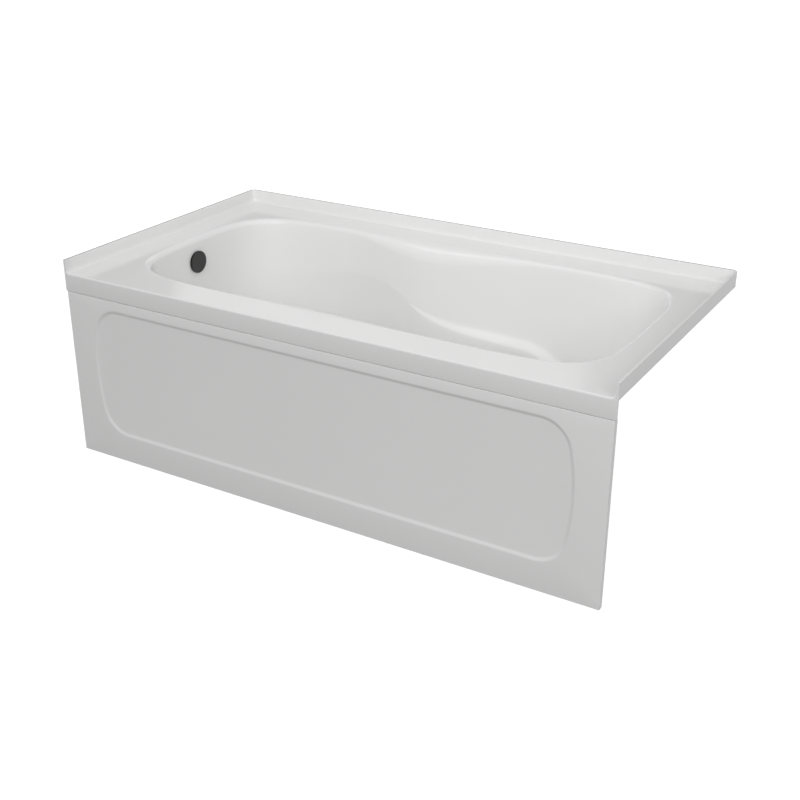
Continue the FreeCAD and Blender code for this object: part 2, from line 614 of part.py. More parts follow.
elbow_outside = join(
    "elbow_outside",
    rod("elbow_chamber", "x", "dim.elbow_radius", ("dim.elbow_back", MOUTH_BACK), OVERFLOW),
    rod("elbow_mouth", "x", "dim.mouth_radius", (MOUTH_BACK, MOUTH_FACE), OVERFLOW),
    rod("elbow_spigot", "z", "dim.socket_radius", ("dim.spigot_low", "dim.overflow_z"), WASTE),
    rod("elbow_boss", "z", "dim.boss_radius", ("dim.cable_top", "dim.cable_top + dim.elbow_boss_long"),
        CABLE_DOWN))
elbow_inside = join(
    "elbow_inside",
    rod("elbow_bore", "x", "dim.elbow_bore", ("dim.elbow_back + dim.elbow_wall", MOUTH_FACE), OVERFLOW),
    rod("elbow_socket", "z", "dim.socket_bore", ("dim.spigot_low", "dim.overflow_z"), WASTE))
piece("overflow_elbow", cut("overflow_elbow", elbow_outside, elbow_inside))

piece("overflow_tube", ring("overflow_tube", "z", "dim.pipe_radius", "dim.pipe_bore",
                            ("dim.tube_low", "dim.tube_top"), WASTE))

tee_outside = join(
    "tee_outside",
    rod("tee_body", "z", "dim.socket_radius", ("dim.tee_low", "dim.tee_top"), WASTE),
    rod("tee_branch", "x", "dim.socket_radius", ("dim.waste_x", "dim.tee_branch_end"), LEVEL),
    rod("tee_tail", "z", "dim.pipe_radius", ("dim.tail_low", "dim.tee_top"), WASTE))
tee_inside = join(
    "tee_inside",
    rod("tee_bore", "z", "dim.pipe_bore", ("dim.tail_low", "dim.tee_top"), WASTE),
    rod("tee_socket", "z", "dim.socket_bore", ("dim.tee_seat", "dim.tee_top"), WASTE),
    rod("branch_bore", "x", "dim.pipe_bore", ("dim.waste_x", "dim.tee_branch_end"), LEVEL),
    rod("branch_socket", "x", "dim.socket_bore", ("dim.tee_branch_seat", "dim.tee_branch_end"), LEVEL))
piece("waste_tee", cut("waste_tee", tee_outside, tee_inside))

piece("shoe_tube", ring("shoe_tube", "x", "dim.pipe_radius", "dim.pipe_bore",
                        ("dim.shoe_tube_left", "dim.shoe_tube_right"), LEVEL))


def slip_joint(name, axis, end, outward, centre):
    """Nut and washer on a spigot that ends at a rule and opens towards +1 or -1 on the axis."""
    sign = "+" if outward > 0 else "-"
    back = "-" if outward > 0 else "+"

    def span(start, stop):
        return (start, stop) if outward > 0 else (stop, start)

    grip_start = f"{end} {back} dim.nut_grip"
    washer_stop = f"{end} {sign} dim.washer_thick"
    outside = octagon(name + "_outside", axis, "dim.nut_radius",
                      span(grip_start, f"{grip_start} {sign} dim.nut_length"), centre)
    thread = rod(name + "_thread", axis, "dim.socket_radius + dim.nut_play",
                 span(grip_start, washer_stop), centre)
    bore = rod(name + "_bore", axis, "dim.pipe_radius + dim.nut_play",
               span(grip_start, f"{grip_start} {sign} dim.nut_length"), centre)
    nut = cut(name + "_nut", outside, join(name + "_hollow", thread, bore))
    washer = ring(name + "_washer", axis, "dim.socket_radius", "dim.pipe_radius + dim.nut_play",
                  span(end, washer_stop), centre)
    return nut, washer


joints = [slip_joint("elbow_joint", "z", "dim.spigot_low", -1, WASTE),
          slip_joint("tee_joint", "z", "dim.tee_top", 1, WASTE),
          slip_joint("branch_joint", "x", "dim.tee_branch_end", 1, LEVEL),
          slip_joint("shoe_joint", "x", "dim.shoe_spigot_end", -1, LEVEL)]
piece("slip_nuts", group("slip_nuts", [nut for nut, _ in joints]))
piece("slip_washers", group("slip_washers", [washer for _, washer in joints]))


# ---------------------------------------------------------------- pull cable in its sheath

sheath_bend = doc.addObject("Part::Torus", "sheath_bend")
sheath_bend.setExpression("Radius1", "dim.cable_bend")
sheath_bend.setExpression("Radius2", "dim.cable_radius")
sheath_bend.Angle3 = 90
sheath_bend.Placement = FreeCAD.Placement(
    V(0, 0, 0), FreeCAD.Rotation(V(-1, 0, 0), V(0, 0, -1), V(0, -1, 0), "XYZ"))
place(sheath_bend, "dim.cable_x + dim.cable_bend", "dim.cable_y", "dim.cable_z + dim.cable_bend")
piece("cable_sheath", join(
    "cable_sheath", sheath_bend,
    rod("sheath_down", "z", "dim.cable_radius", ("dim.cable_z + dim.cable_bend", "dim.cable_top"), CABLE_DOWN),
    rod("sheath_along", "x", "dim.cable_radius", ("dim.cable_x + dim.cable_bend", "dim.cable_end"),
        CABLE_ALONG)))


# ---------------------------------------------------------------- overflow knob and retainer

def spokes(name, axis, span, centre, reach):
    """Three flat spokes from a centre line out to a radius, spread evenly round the axis."""
    arms = []
    for k in range(3):
        arm = doc.addObject("Part::Box", name)
        arm.setExpression("Length", reach)
        arm.setExpression("Width", "dim.spoke_wide")
        arm.setExpression("Height", f"({span[1]}) - ({span[0]})")
        angle = FreeCAD.Rotation(V(0, 0, 1), 120 * k)
        start = angle.multVec(V(0, -SIZE["spoke_wide"] / 2, 0))
        turn = TURN[axis].multiply(angle)
        shift = TURN[axis].multVec(start)
        arm.Placement = FreeCAD.Placement(shift, turn)
        coordinates = list(centre)
        coordinates.insert("xyz".index(axis), span[0])
        place(arm, *(f"{rule} + ({number:.6f})" for rule, number in zip(coordinates, shift)))
        arms.append(arm)
    return arms


HUB_SPAN = (END_WALL + " - dim.hub_back", END_WALL + " - dim.hub_front")
RIM_LOW = END_WALL + " + dim.retainer_film"
RIM_HIGH = END_WALL + " + dim.retainer_flange"
retainer_ring = cut(
    "retainer_ring",
    join("retainer_outside",
         rod("retainer_rim", "x", "dim.retainer_radius", (RIM_LOW, RIM_HIGH), OVERFLOW),
         rod("retainer_neck", "x", "dim.retainer_barrel", (END_WALL + " - dim.retainer_long", RIM_LOW),
             OVERFLOW)),
    rod("retainer_hollow", "x", "dim.retainer_bore", (END_WALL + " - dim.retainer_long", RIM_HIGH), OVERFLOW))
retainer_whole = join(
    "retainer_whole", retainer_ring, rod("retainer_hub", "x", "dim.hub_radius", HUB_SPAN, OVERFLOW),
    *spokes("retainer_spoke", "x", HUB_SPAN, OVERFLOW, "dim.retainer_bore + 1"))
piece("overflow_retainer", cut(
    "overflow_retainer", retainer_whole,
    rod("retainer_bearing", "x", "dim.spindle_radius + dim.bearing_play", HUB_SPAN, OVERFLOW)))

knob = turned("overflow_knob", [
    ("dim.spindle_radius", "-dim.knob_hub_long"), ("dim.knob_hub_radius", "-dim.knob_hub_long"),
    ("dim.knob_hub_radius", "0"), ("dim.knob_radius - dim.knob_round", "0"),
    ("dim.knob_radius", "dim.knob_round"), ("dim.knob_radius", "dim.knob_thick - dim.knob_round"),
    ("dim.knob_radius - dim.knob_round", "dim.knob_thick"), ("0", "dim.knob_thick"),
    ("0", "dim.spindle_grip"), ("dim.spindle_radius", "dim.spindle_grip")])
knob.Placement = FreeCAD.Placement(V(0, 0, 0), TURN["x"])
place(knob, END_WALL + " + dim.knob_gap", *OVERFLOW)
piece("overflow_knob", knob)

SPINDLE_LONG = END_WALL + " + dim.knob_gap + dim.spindle_grip - dim.spindle_end"
spindle = turned("overflow_spindle", [
    ("0", "0"), ("dim.crank_radius", "0"), ("dim.crank_radius", "dim.crank_thick"),
    ("dim.spindle_radius", "dim.crank_thick"), ("dim.spindle_radius", SPINDLE_LONG), ("0", SPINDLE_LONG)])
spindle.Placement = FreeCAD.Placement(V(0, 0, 0), TURN["x"])
place(spindle, "dim.spindle_end", *OVERFLOW)
piece("overflow_spindle", spindle)


# ---------------------------------------------------------------- drain shoe, flange and stopper

SHOE_TOP = "dim.drain_z - dim.skin - dim.backing - dim.drain_gasket_thick"
piece("drain_gasket", ring("drain_gasket", "z", "dim.seat_radius", "dim.shoe_bore + dim.nut_play",
                           (SHOE_TOP, SHOE_TOP + " + dim.drain_gasket_thick"), DRAIN))

shoe_outside = join(
    "shoe_outside",
    rod("shoe_body", "z", "dim.shoe_radius", ("dim.shoe_low", SHOE_TOP), DRAIN),
    rod("shoe_flange", "z", "dim.shoe_flange_radius", (SHOE_TOP + " - dim.shoe_flange_thick", SHOE_TOP), DRAIN),
    rod("shoe_spigot", "x", "dim.socket_radius", ("dim.shoe_spigot_end", "dim.drain_x"), LEVEL),
    rod("shoe_boss", "x", "dim.boss_radius", ("dim.cable_end", "dim.cable_end + dim.shoe_boss_long"),
        CABLE_ALONG))
shoe_inside = join(
    "shoe_inside",
    rod("shoe_chamber", "z", "dim.shoe_bore", ("dim.shoe_low + dim.shoe_base", SHOE_TOP), DRAIN),
    rod("shoe_outlet", "x", "dim.pipe_bore", ("dim.shoe_spigot_end", "dim.drain_x"), LEVEL),
    rod("shoe_socket", "x", "dim.socket_bore", ("dim.shoe_spigot_end", "dim.shoe_spigot_seat"), LEVEL))
shoe_hollow = cut("shoe_hollow", shoe_outside, shoe_inside)
shoe_whole = join("shoe_whole", shoe_hollow,
                  rod("pin_boss", "z", "dim.pin_boss_radius", ("dim.shoe_low", "dim.pin_boss_top"), DRAIN))
piece("drain_shoe", cut("drain_shoe", shoe_whole,
                        rod("pin_guide", "z", "dim.pin_radius + dim.bearing_play",
                            ("dim.shoe_low + dim.shoe_base", "dim.pin_boss_top"), DRAIN)))

SEAT_LOW = "dim.drain_z + dim.seat_lift"
GUIDE_SPAN = ("dim.guide_low", "dim.guide_high")
flange_ring = cut(
    "flange_ring",
    join("flange_outside",
         rod("flange_seat", "z", "dim.seat_radius", (SEAT_LOW, SEAT_LOW + " + dim.seat_thick"), DRAIN),
         rod("flange_barrel", "z", "dim.barrel_radius", ("dim.barrel_low", SEAT_LOW), DRAIN)),
    rod("flange_hollow", "z", "dim.barrel_bore", ("dim.barrel_low", SEAT_LOW + " + dim.seat_thick"), DRAIN))
flange_whole = join("flange_whole", flange_ring, rod("flange_hub", "z", "dim.hub_radius", GUIDE_SPAN, DRAIN),
                    *spokes("flange_spoke", "z", GUIDE_SPAN, DRAIN, "dim.barrel_bore + 1"))
piece("drain_flange", cut("drain_flange", flange_whole,
                          rod("stem_guide", "z", "dim.stem_radius + dim.bearing_play", GUIDE_SPAN, DRAIN)))

CAP_RISE = "dim.cap_low - dim.stem_low"
stopper = turned("drain_stopper", [
    ("0", "0"), ("dim.stem_radius", "0"), ("dim.stem_radius", CAP_RISE), ("dim.cap_radius", CAP_RISE),
    ("dim.cap_radius", CAP_RISE + " + dim.cap_edge"),
    ("dim.cap_radius - dim.cap_thick", CAP_RISE + " + dim.cap_thick"), ("0", CAP_RISE + " + dim.cap_thick")])
place(stopper, *DRAIN, "dim.stem_low")
piece("drain_stopper", stopper)
piece("stopper_seal", ring("stopper_seal", "z", "dim.seal_radius", "dim.stem_radius",
                           ("dim.cap_low - dim.seal_thick", "dim.cap_low"), DRAIN))
piece("lift_pin", rod("lift_pin", "z", "dim.pin_radius", ("dim.pin_low", "dim.stem_low"), DRAIN))


# ---------------------------------------------------------------- check and write

doc.recompute()
for obj in doc.Objects:
    if "Invalid" in obj.State or "Error" in obj.State:
        raise RuntimeError(f"{obj.Label} could not be built: {obj.State}")
os.makedirs("parts", exist_ok=True)
for name, obj in pieces.items():
    shape = obj.Shape
    if shape.isNull() or not shape.isValid() or shape.Volume <= 0:
        raise RuntimeError(f"{name} has no sound shape")
    shape.exportStep(f"parts/{name}.step")
    box = shape.BoundBox
    print(f"{name:24s} {len(shape.Solids)} solids {shape.Volume / 1000:10.1f} cm3"
          f"  x {box.XMin:8.1f} {box.XMax:8.1f}  y {box.YMin:8.1f} {box.YMax:8.1f}"
          f"  z {box.ZMin:7.1f} {box.ZMax:7.1f}")
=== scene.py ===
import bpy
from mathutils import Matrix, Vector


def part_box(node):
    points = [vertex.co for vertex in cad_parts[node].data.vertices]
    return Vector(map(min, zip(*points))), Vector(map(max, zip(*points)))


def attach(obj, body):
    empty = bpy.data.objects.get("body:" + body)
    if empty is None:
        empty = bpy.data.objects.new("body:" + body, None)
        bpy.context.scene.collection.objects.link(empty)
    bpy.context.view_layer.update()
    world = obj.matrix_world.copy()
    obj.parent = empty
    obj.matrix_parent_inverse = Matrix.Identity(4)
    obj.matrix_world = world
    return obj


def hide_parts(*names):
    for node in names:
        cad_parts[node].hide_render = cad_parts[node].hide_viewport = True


bl_info = {
    "name": "Alcove Bathtub",
    "version": (1, 0, 0),
    "blender": (4, 5, 0),
    "location": "View3D > Sidebar > Bathtub",
    "description": "Acrylic shell, skirt, waste parts, timber base and stage of an alcove bathtub",
    "category": "Object",
}

import math

import bmesh
import bpy
import numpy as np
from mathutils import Matrix, Vector

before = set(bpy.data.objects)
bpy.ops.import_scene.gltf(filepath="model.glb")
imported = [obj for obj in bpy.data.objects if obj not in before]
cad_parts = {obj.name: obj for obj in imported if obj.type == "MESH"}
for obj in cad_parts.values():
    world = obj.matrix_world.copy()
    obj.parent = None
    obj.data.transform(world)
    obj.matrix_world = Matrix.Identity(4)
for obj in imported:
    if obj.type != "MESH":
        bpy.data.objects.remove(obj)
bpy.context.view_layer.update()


# ---------------------------------------------------------------- sizes and colours

def length(name, description, default):
    """Distance property in metres."""
    return bpy.props.FloatProperty(name=name, description=description, default=default,
                                   unit="LENGTH", subtype="DISTANCE", precision=4)


def ratio(name, description, default):
    """Plain number from 0 to 1."""
    return bpy.props.FloatProperty(name=name, description=description, default=default,
                                   min=0.0, max=1.0, subtype="FACTOR")


def number(name, description, default):
    """Plain number without a unit."""
    return bpy.props.FloatProperty(name=name, description=description, default=default)


def angle(name, description, degrees):
    """Angle, given in degrees."""
    return bpy.props.FloatProperty(name=name, description=description,
                                   default=math.radians(degrees), unit="ROTATION", subtype="ANGLE")


def colour(name, description, default):
    """Linear colour."""
    return bpy.props.FloatVectorProperty(name=name, description=description, default=default,
                                         size=3, min=0.0, max=1.0, subtype="COLOR")


class BathWell(bpy.types.PropertyGroup):
    """Form of the bathing well."""

    rim_left: length("Rim at drain end", "Start of the rim's round-over at the drain end", -0.674)
    rim_right: length("Rim at head end", "Start of the rim's round-over at the head end", 0.680)
    rim_half: length("Rim half width", "Half the width between the starts of the round-over", 0.313)
    rim_round: length("Rim radius", "Radius of the round-over at the ends and corners", 0.014)
    waist_round: length("Waist radius", "Radius of the round-over at the waist", 0.050)
    waist_x: length("Waist position", "Where the round-over is widest", -0.060)
    waist_foot_run: length("Waist run to drain", "Length of its fade to the drain end", 0.300)
    waist_head_run: length("Waist run to head", "Length of its fade to the head end", 0.380)
    side_lean: number("Side lean", "Inset over depth of the side wall above the fold", 0.14)
    side_lower_lean: number("Lower side lean", "Inset over depth of the side below the fold", 0.05)
    head_lean: number("Backrest lean", "Inset over depth at the top of the backrest", 0.35)
    head_lower_lean: number("Lower backrest lean", "Inset over depth at the backrest's foot", 0.55)
    fold_crest_x: length("Fold crest position", "Where the fold along the side is highest", -0.250)
    fold_crest_z: length("Fold crest height", "Height of the fold at its crest", 0.390)
    fold_foot_run: length("Fold run to drain", "Width of its bell towards the drain", 0.290)
    fold_foot_fall: length("Fold fall to drain", "Fall of the fold towards the drain end", 0.062)
    fold_head_run: length("Fold run to head", "Width of its bell towards the head", 0.150)
    fold_head_fall: length("Fold fall to head", "Fall of the fold towards the head end", 0.064)
    fold_slope: number("Fold slope", "Fall over length of the fold towards the head end", 0.045)
    fold_end_x: length("Fold dip", "Where the fold begins to dip under the backrest", 0.290)
    fold_end_run: length("Fold dip run", "Length over which the fold dips", 0.220)
    fold_end_fall: length("Fold dip depth", "How far the fold dips under the backrest", 0.040)
    fold_step: length("Fold depth", "Height over which the fold turns", 0.010)
    armrest_start_x: length("Armrest tip", "Where the armrest begins", -0.116)
    armrest_run: length("Armrest run", "Length over which the armrest reaches its width", 0.400)
    armrest_deep: length("Armrest width", "Width of the armrest", 0.028)
    armrest_fall: number("Armrest slope", "Fall of the armrest over its width", 0.55)
    armrest_end_x: length("Armrest end", "Where the armrest begins to fade out", 0.330)
    armrest_end_run: length("Armrest fade", "Length over which the armrest fades out", 0.270)
    rim_square: number("Rim squareness", "Power of the rim ring along the tub", 8.0)
    rim_square_drain: number("Rim square, drain", "Power of the rim ring across at the drain", 4.0)
    rim_square_head: number("Rim square, head", "Power of the rim ring across at the head", 5.0)
    foot_square: number("Foot squareness", "Power of the lowest ring along the tub", 4.0)
    foot_square_across: number("Foot square across", "Power of the lowest ring across", 3.0)
    drain_x: length("Drain position", "Middle of the drain along the tub", -0.510)
    drain_z: length("Drain height", "Height of the floor at the drain", 0.100)
    drain_radius: length("Drain hole", "Radius of the drain hole", 0.0254)
    floor_slope: number("Floor slope", "Rise of the floor over distance from the drain", 0.012)
    floor_gather: ratio("Floor rows", "How much sooner the floor's rows run in across the tub", 0.8)
    floor_rise: length("Floor fillet height", "Height of the fillet between wall and floor", 0.080)
    side_fillet: length("Side fillet", "Width of the fillet at the side walls", 0.045)
    drain_fillet: length("Drain end fillet", "Width of the fillet at the drain end", 0.066)
    head_fillet: length("Head end fillet", "Width of the fillet at the head end", 0.130)
    end_bow: length("End bow", "Bow of the end walls between their corners", 0.005)


class BathBody(bpy.types.PropertyGroup):
    """Deck, flange, lip and skirt."""

    deck_z: length("Deck height", "Height of the deck over the floor", 0.510)
    flange_top: length("Flange top", "Height of the top of the tiling flange", 0.5461)
    half_long: length("Half length", "Half the length of the tub", 0.762)
    half_wide: length("Half width", "Half the width of the tub", 0.4064)
    skin: length("Sheet", "Thickness of the acrylic sheet", 0.004)
    flange: length("Flange", "Thickness of the tiling flange", 0.006)
    cove: length("Cove", "Radius at the foot of the flange", 0.010)
    corner: length("Corner", "Outer radius of the back corners", 0.014)
    backing: length("Backing", "Thickness of the sprayed backing", 0.003)
    lip_z: length("Lip", "Height of the lower edge of the front lip", 0.4612)
    lip_nose: length("Lip nose", "Rounding of the lip's lower edge in front", 0.0012)
    lip_heel: length("Lip heel", "Rounding of the lip's lower edge behind", 0.001)
    edge: length("Flange edge", "Rounding of the top edges of the flange", 0.0016)
    skirt_half: length("Skirt half length", "Half the length of the skirt", 0.759)
    skirt_top: length("Skirt top", "Height of the top of the skirt", 0.4600)
    skirt_skin: length("Skirt sheet", "Thickness of the skirt", 0.0035)
    skirt_edge: length("Skirt edge", "Rounding of the skirt's edges", 0.0012)
    skirt_return: length("Skirt return", "Depth of the skirt's side returns", 0.015)
    panel_half: length("Panel half length", "Half the length of the recessed panel", 0.6845)
    panel_low: length("Panel foot", "Lower edge of the recessed panel", 0.0755)
    panel_high: length("Panel head", "Upper edge of the recessed panel", 0.4355)
    panel_deep: length("Panel depth", "Depth of the recessed panel", 0.0035)
    panel_slope: length("Panel step", "Width of the sloped step round the panel", 0.011)
    panel_corner: length("Panel corner", "Radius of the panel's corners", 0.080)
    panel_bow: length("Panel end radius", "Radius of the panel's bowed ends", 0.560)
    panel_margin: length("Panel margin", "Level border kept even round the panel's step", 0.004)
    tongue_low: length("Tongue foot", "Lower end of the tongue behind the seam", 0.450)
    tongue_half: length("Tongue half length", "Half the length of that tongue", 0.750)
    tongue_high: length("Tongue head", "Upper end of that tongue", 0.500)


class BathFittings(bpy.types.PropertyGroup):
    """Overflow knob and stopper."""

    knob_hub: length("Knob hub", "Radius of the hub behind the knob's plate", 0.008)
    knob_lift: length("Knob lift", "Length of the hub behind the knob's plate", 0.003)
    knob_bore: length("Knob bore", "Radius of the bore for the spindle", 0.0041)
    knob_socket: length("Knob socket", "Depth of the bore inside the plate", 0.0024)
    knob_back_edge: length("Knob back edge", "Rounding of the plate's back edge", 0.0009)
    knob_front_edge: length("Knob front edge", "Rounding of the plate's front edge", 0.0014)
    knob_dish: length("Knob dish", "Hollow in the middle of the knob's face", 0.0005)
    stem: length("Stopper stem", "Radius of the stopper's stem", 0.004)
    stem_bevel: length("Stem bevel", "Bevel at the foot of the stem", 0.0004)
    cap: length("Stopper cap", "Height of the stopper's cap", 0.004)
    cap_edge: length("Cap edge", "Rounding of the cap's lower edge", 0.0008)
    dome: number("Dome", "Power of the cap's dome: 2 is an ellipse, more is flatter", 2.6)


class BathFinish(bpy.types.PropertyGroup):
    """Colours and gloss."""

    acrylic: colour("Acrylic", "White of the shell and skirt", (0.81, 0.81, 0.806))
    acrylic_rough: ratio("Acrylic roughness", "Roughness of the polished acrylic", 0.14)
    # Grey of a painted shade line on the flange's top edge along the back and the drain end, not a
    # colour of the sheet
    painted_edge_grey: colour("Painted edge shade", "Grey painted shade on the top edge of the tiling flange", (0.36, 0.36, 0.357))
    dark: colour("Dark metal", "Knob, drain flange and stopper", (0.022, 0.021, 0.021))
    resin: colour("Fibreglass", "Resin and glass under the shell", (0.62, 0.58, 0.44))
    timber: colour("Timber", "Planed softwood", (0.60, 0.42, 0.24))
    timber_dark: colour("Timber grain", "Darker bands of the grain", (0.42, 0.26, 0.13))
    veneer: colour("Veneer", "Face veneer of the plywood", (0.56, 0.38, 0.21))
    veneer_dark: colour("Veneer grain", "Darker figure of the veneer", (0.44, 0.27, 0.14))
    foam: colour("Foam", "Rigid bedding foam", (0.72, 0.62, 0.36))
    plastic: colour("Waste plastic", "Black plastic of the waste pipes", (0.020, 0.020, 0.022))
    nut: colour("Nut plastic", "Dark grey plastic of the slip nuts", (0.050, 0.050, 0.055))
    washer: colour("Washer", "White slip-joint washers", (0.70, 0.70, 0.68))
    rubber: colour("Rubber", "Black rubber of gaskets and seal", (0.018, 0.018, 0.018))
    brass: colour("Brass", "Plain brass", (0.72, 0.50, 0.22))
    steel: colour("Screw steel", "Zinc-plated screws", (0.62, 0.60, 0.52))


class BathLight(bpy.types.PropertyGroup):
    """Camera, lamps and world."""

    camera: bpy.props.FloatVectorProperty(name="Camera", description="Place of the camera", size=3,
                                          default=(1.51007, -2.53318, 1.53201), unit="LENGTH",
                                          subtype="TRANSLATION")
    azimuth: angle("Azimuth", "Turn of the camera from +Y towards -X", 30.95)
    elevation: angle("Elevation", "Angle at which the camera looks down", 24.87)
    lens: number("Lens", "Focal length in millimetres on a sensor 36 mm wide", 54.47)
    shift_x: number("Shift X", "Sideways shift of the frame", 0.0081)
    shift_y: number("Shift Y", "Upward shift of the frame", 0.0005)
    fill: number("Fill", "Strength of the even light from all round", 0.54)
    key: number("Key", "Power of the large lamp in front", 113.0)
    ceiling: ratio("Ceiling", "Strength of the ceiling in mirrors, where 1 is white", 0.15)
    side: number("Side", "Power of the lamp beyond the head end", 51.0)
    sheen: number("Sheen", "Power of the softbox that the front deck mirrors", 4.5)
    top: number("Top", "Power of the strip light over the back deck", 2.2)


# ---------------------------------------------------------------- grids and meshes

SAME_POINT, NO_LENGTH = 2e-6, 1e-7    # distances in metres within which a mesh's points are merged
SHARP_ANGLE = 35.0                    # degrees past which an edge is shaded sharp


def ease(t):
    """Smooth step: 3t squared minus 2t cubed, held at 0 and 1 outside that range."""
    t = np.clip(t, 0.0, 1.0)
    return t * t * (3.0 - 2.0 * t)


def grid(points, closed=False):
    """Points of a grid (rows, columns, 3) and its quads; closed joins last column to first."""
    rows, columns = points.shape[:2]
    last = columns if closed else columns - 1
    r = np.arange(rows - 1)[:, None]
    c = np.arange(last)[None, :]
    after = (c + 1) % columns
    quads = np.stack([r * columns + c, r * columns + after, (r + 1) * columns + after,
                      (r + 1) * columns + c], axis=-1)
    return points.reshape(-1, 3), quads.reshape(-1, 4).tolist()


def polygon(points):
    """One flat face with the given corners."""
    return points, [list(range(len(points)))]


def carried(profile, start, end, axis):
    """Closed prism: a flat profile (two coordinates) carried straight along an axis, with caps."""
    rest = [k for k in range(3) if k != axis]
    ends = np.zeros((2, len(profile), 3))
    ends[:, :, rest] = profile
    ends[0, :, axis] = start
    ends[1, :, axis] = end
    return [grid(ends, closed=True), polygon(ends[0][::-1]), polygon(ends[1])]


def turned(profile, steps):
    """Surface of a profile of (radius, height) pairs turned about Z: x = r cos a, y = r sin a."""
    angle = 2 * np.pi * np.arange(steps) / steps
    r, z = np.asarray(profile, dtype=float).T
    points = np.stack([r[:, None] * np.cos(angle), r[:, None] * np.sin(angle),
                       np.broadcast_to(z[:, None], (len(z), steps))], axis=-1)
    return grid(points, closed=True)


def corner_arc(centre, radius, start, end, steps):
    """Points of an arc in the plane: centre + radius (cos a, sin a), angles in degrees."""
    angle = np.radians(np.linspace(start, end, steps))
    return np.stack([centre[0] + radius * np.cos(angle),
                     centre[1] + radius * np.sin(angle)], axis=-1)


def make_piece(name, parts, material, replaced, body="tub"):
    """Join grids and faces into one closed piece that rides on a body and replaces its node."""
    points, faces, count = [], [], 0
    for part_points, part_faces in parts:
        points.append(part_points)
        faces += [[count + i for i in face] for face in part_faces]
        count += len(part_points)
    mesh = bpy.data.meshes.new(name)
    mesh.from_pydata(np.concatenate(points).tolist(), [], faces)
    work = bmesh.new()
    work.from_mesh(mesh)
    bmesh.ops.remove_doubles(work, verts=work.verts, dist=SAME_POINT)
    bmesh.ops.dissolve_degenerate(work, dist=NO_LENGTH, edges=work.edges)
    bmesh.ops.recalc_face_normals(work, faces=work.faces)
    work.to_mesh(mesh)
    work.free()
    mesh.shade_smooth()
    mesh.set_sharp_from_angle(angle=math.radians(SHARP_ANGLE))
    mesh.materials.append(material)
    piece = bpy.data.objects.new(name, mesh)
    bpy.context.scene.collection.objects.link(piece)
    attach(piece, body)
    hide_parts(replaced)


def dress(material, *nodes):
    """Give carried-over nodes of the frame a material."""
    for node in nodes:
        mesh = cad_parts[node].data
        mesh.materials.clear()
        mesh.materials.append(material)


# ---------------------------------------------------------------- form of the well

# Rows down the well, columns round each of its four sides, and rounds of the two solvers
STEPS = {"round": 16, "wall": 16, "fold": 10, "lower": 12, "fillet": 16, "floor": 18}
SIDE_COLUMNS = 88
NEWTON_ROUNDS = 20
DEPTH_ROUNDS = 2


def ring_angles():
    """Angles round the well: one turn from the deck's front left corner, by the front right one."""
    return np.radians(-135.0 + 90.0 / SIDE_COLUMNS * np.arange(4 * SIDE_COLUMNS))


def square_stretch(across, up, long_power, wide_power):
    """Stretch s for which |s across|^p + |s up|^q = 1, by Newton's rule on whole arrays."""
    s = np.ones_like(across)
    for _ in range(NEWTON_ROUNDS):
        long_part = (s * np.abs(across)) ** long_power
        wide_part = (s * np.abs(up)) ** wide_power
        slope = long_power * long_part + wide_power * wide_part
        s = s - (long_part + wide_part - 1.0) * s / slope
    return s


def fold_height(w, x):
    """Crest height less a fall that grows as 1 - exp(-(distance / run)^2), its own on each side.

    Towards the head end a gentle slope is added to the fall, and a smooth step under the backrest.
    """
    offset = x - w.fold_crest_x
    head = offset > 0
    fall = np.where(head, w.fold_head_fall + w.fold_slope * offset, w.fold_foot_fall)
    fall = fall * (1.0 - np.exp(-(offset / np.where(head, w.fold_head_run, w.fold_foot_run)) ** 2))
    dip = w.fold_end_fall * ease((x - w.fold_end_x) / w.fold_end_run)
    return w.fold_crest_z - fall - dip


def armrest(w, x):
    """Width of the armrest: (3t - t^3) / 2 from its tip on, faded out by a smooth step."""
    t = np.clip((x - w.armrest_start_x) / w.armrest_run, 0.0, 1.0)
    fade = 1.0 - ease((x - w.armrest_end_x) / w.armrest_end_run)
    return w.armrest_deep * (3.0 * t - t ** 3) / 2.0 * fade


def wall_profile(w, x, deck, depth, rim, lean, lower_lean, fillet, shelf=None):
    """Insets and depths (rows by columns) down a wall.

    An arc of the rim's radius; a wall that goes in by its lean times the depth; below the fold a
    shelf that eases out and a steeper wall, or without a shelf a wall whose lean changes evenly to
    the lower one; and a parabola that touches the wall and the level floor.
    """
    last = np.pi / 2 - np.arctan(lean)
    angle = last * np.linspace(0, 1, STEPS["round"])[:, None]
    round_in = rim * np.sin(angle) * np.ones_like(x)
    round_down = rim * (1 - np.cos(angle)) * np.ones_like(x)
    start = round_down[-1]
    fold = deck - fold_height(w, x)
    drop = w.fold_step + w.armrest_fall * (0.0 if shelf is None else shelf)
    foot = depth - w.floor_rise

    def between(low, high, steps):
        return low + (high - low) * (np.arange(1, steps + 1) / steps)[:, None]

    down = np.concatenate([between(start, fold, STEPS["wall"]),
                           between(fold, fold + drop, STEPS["fold"]),
                           between(fold + drop, foot, STEPS["lower"])])
    if shelf is None:
        bend = (lower_lean - lean) * (down - start) ** 2 / (2 * (foot - start))
        inset = round_in[-1] + lean * (down - start) + bend
    else:
        out = shelf * ease((down - fold) / drop) + lower_lean * np.maximum(0.0, down - fold)
        inset = round_in[-1] + lean * (np.minimum(down, fold) - start) + out
    t = (np.arange(1, STEPS["fillet"] + 1) / STEPS["fillet"])[:, None]
    fillet_in = inset[-1] + 2 * t * (1 - t) * lower_lean * w.floor_rise + t * t * fillet
    fillet_down = foot + w.floor_rise * (2 * t - t * t)
    return (np.concatenate([round_in, inset, fillet_in]),
            np.concatenate([round_down, down, fillet_down]))


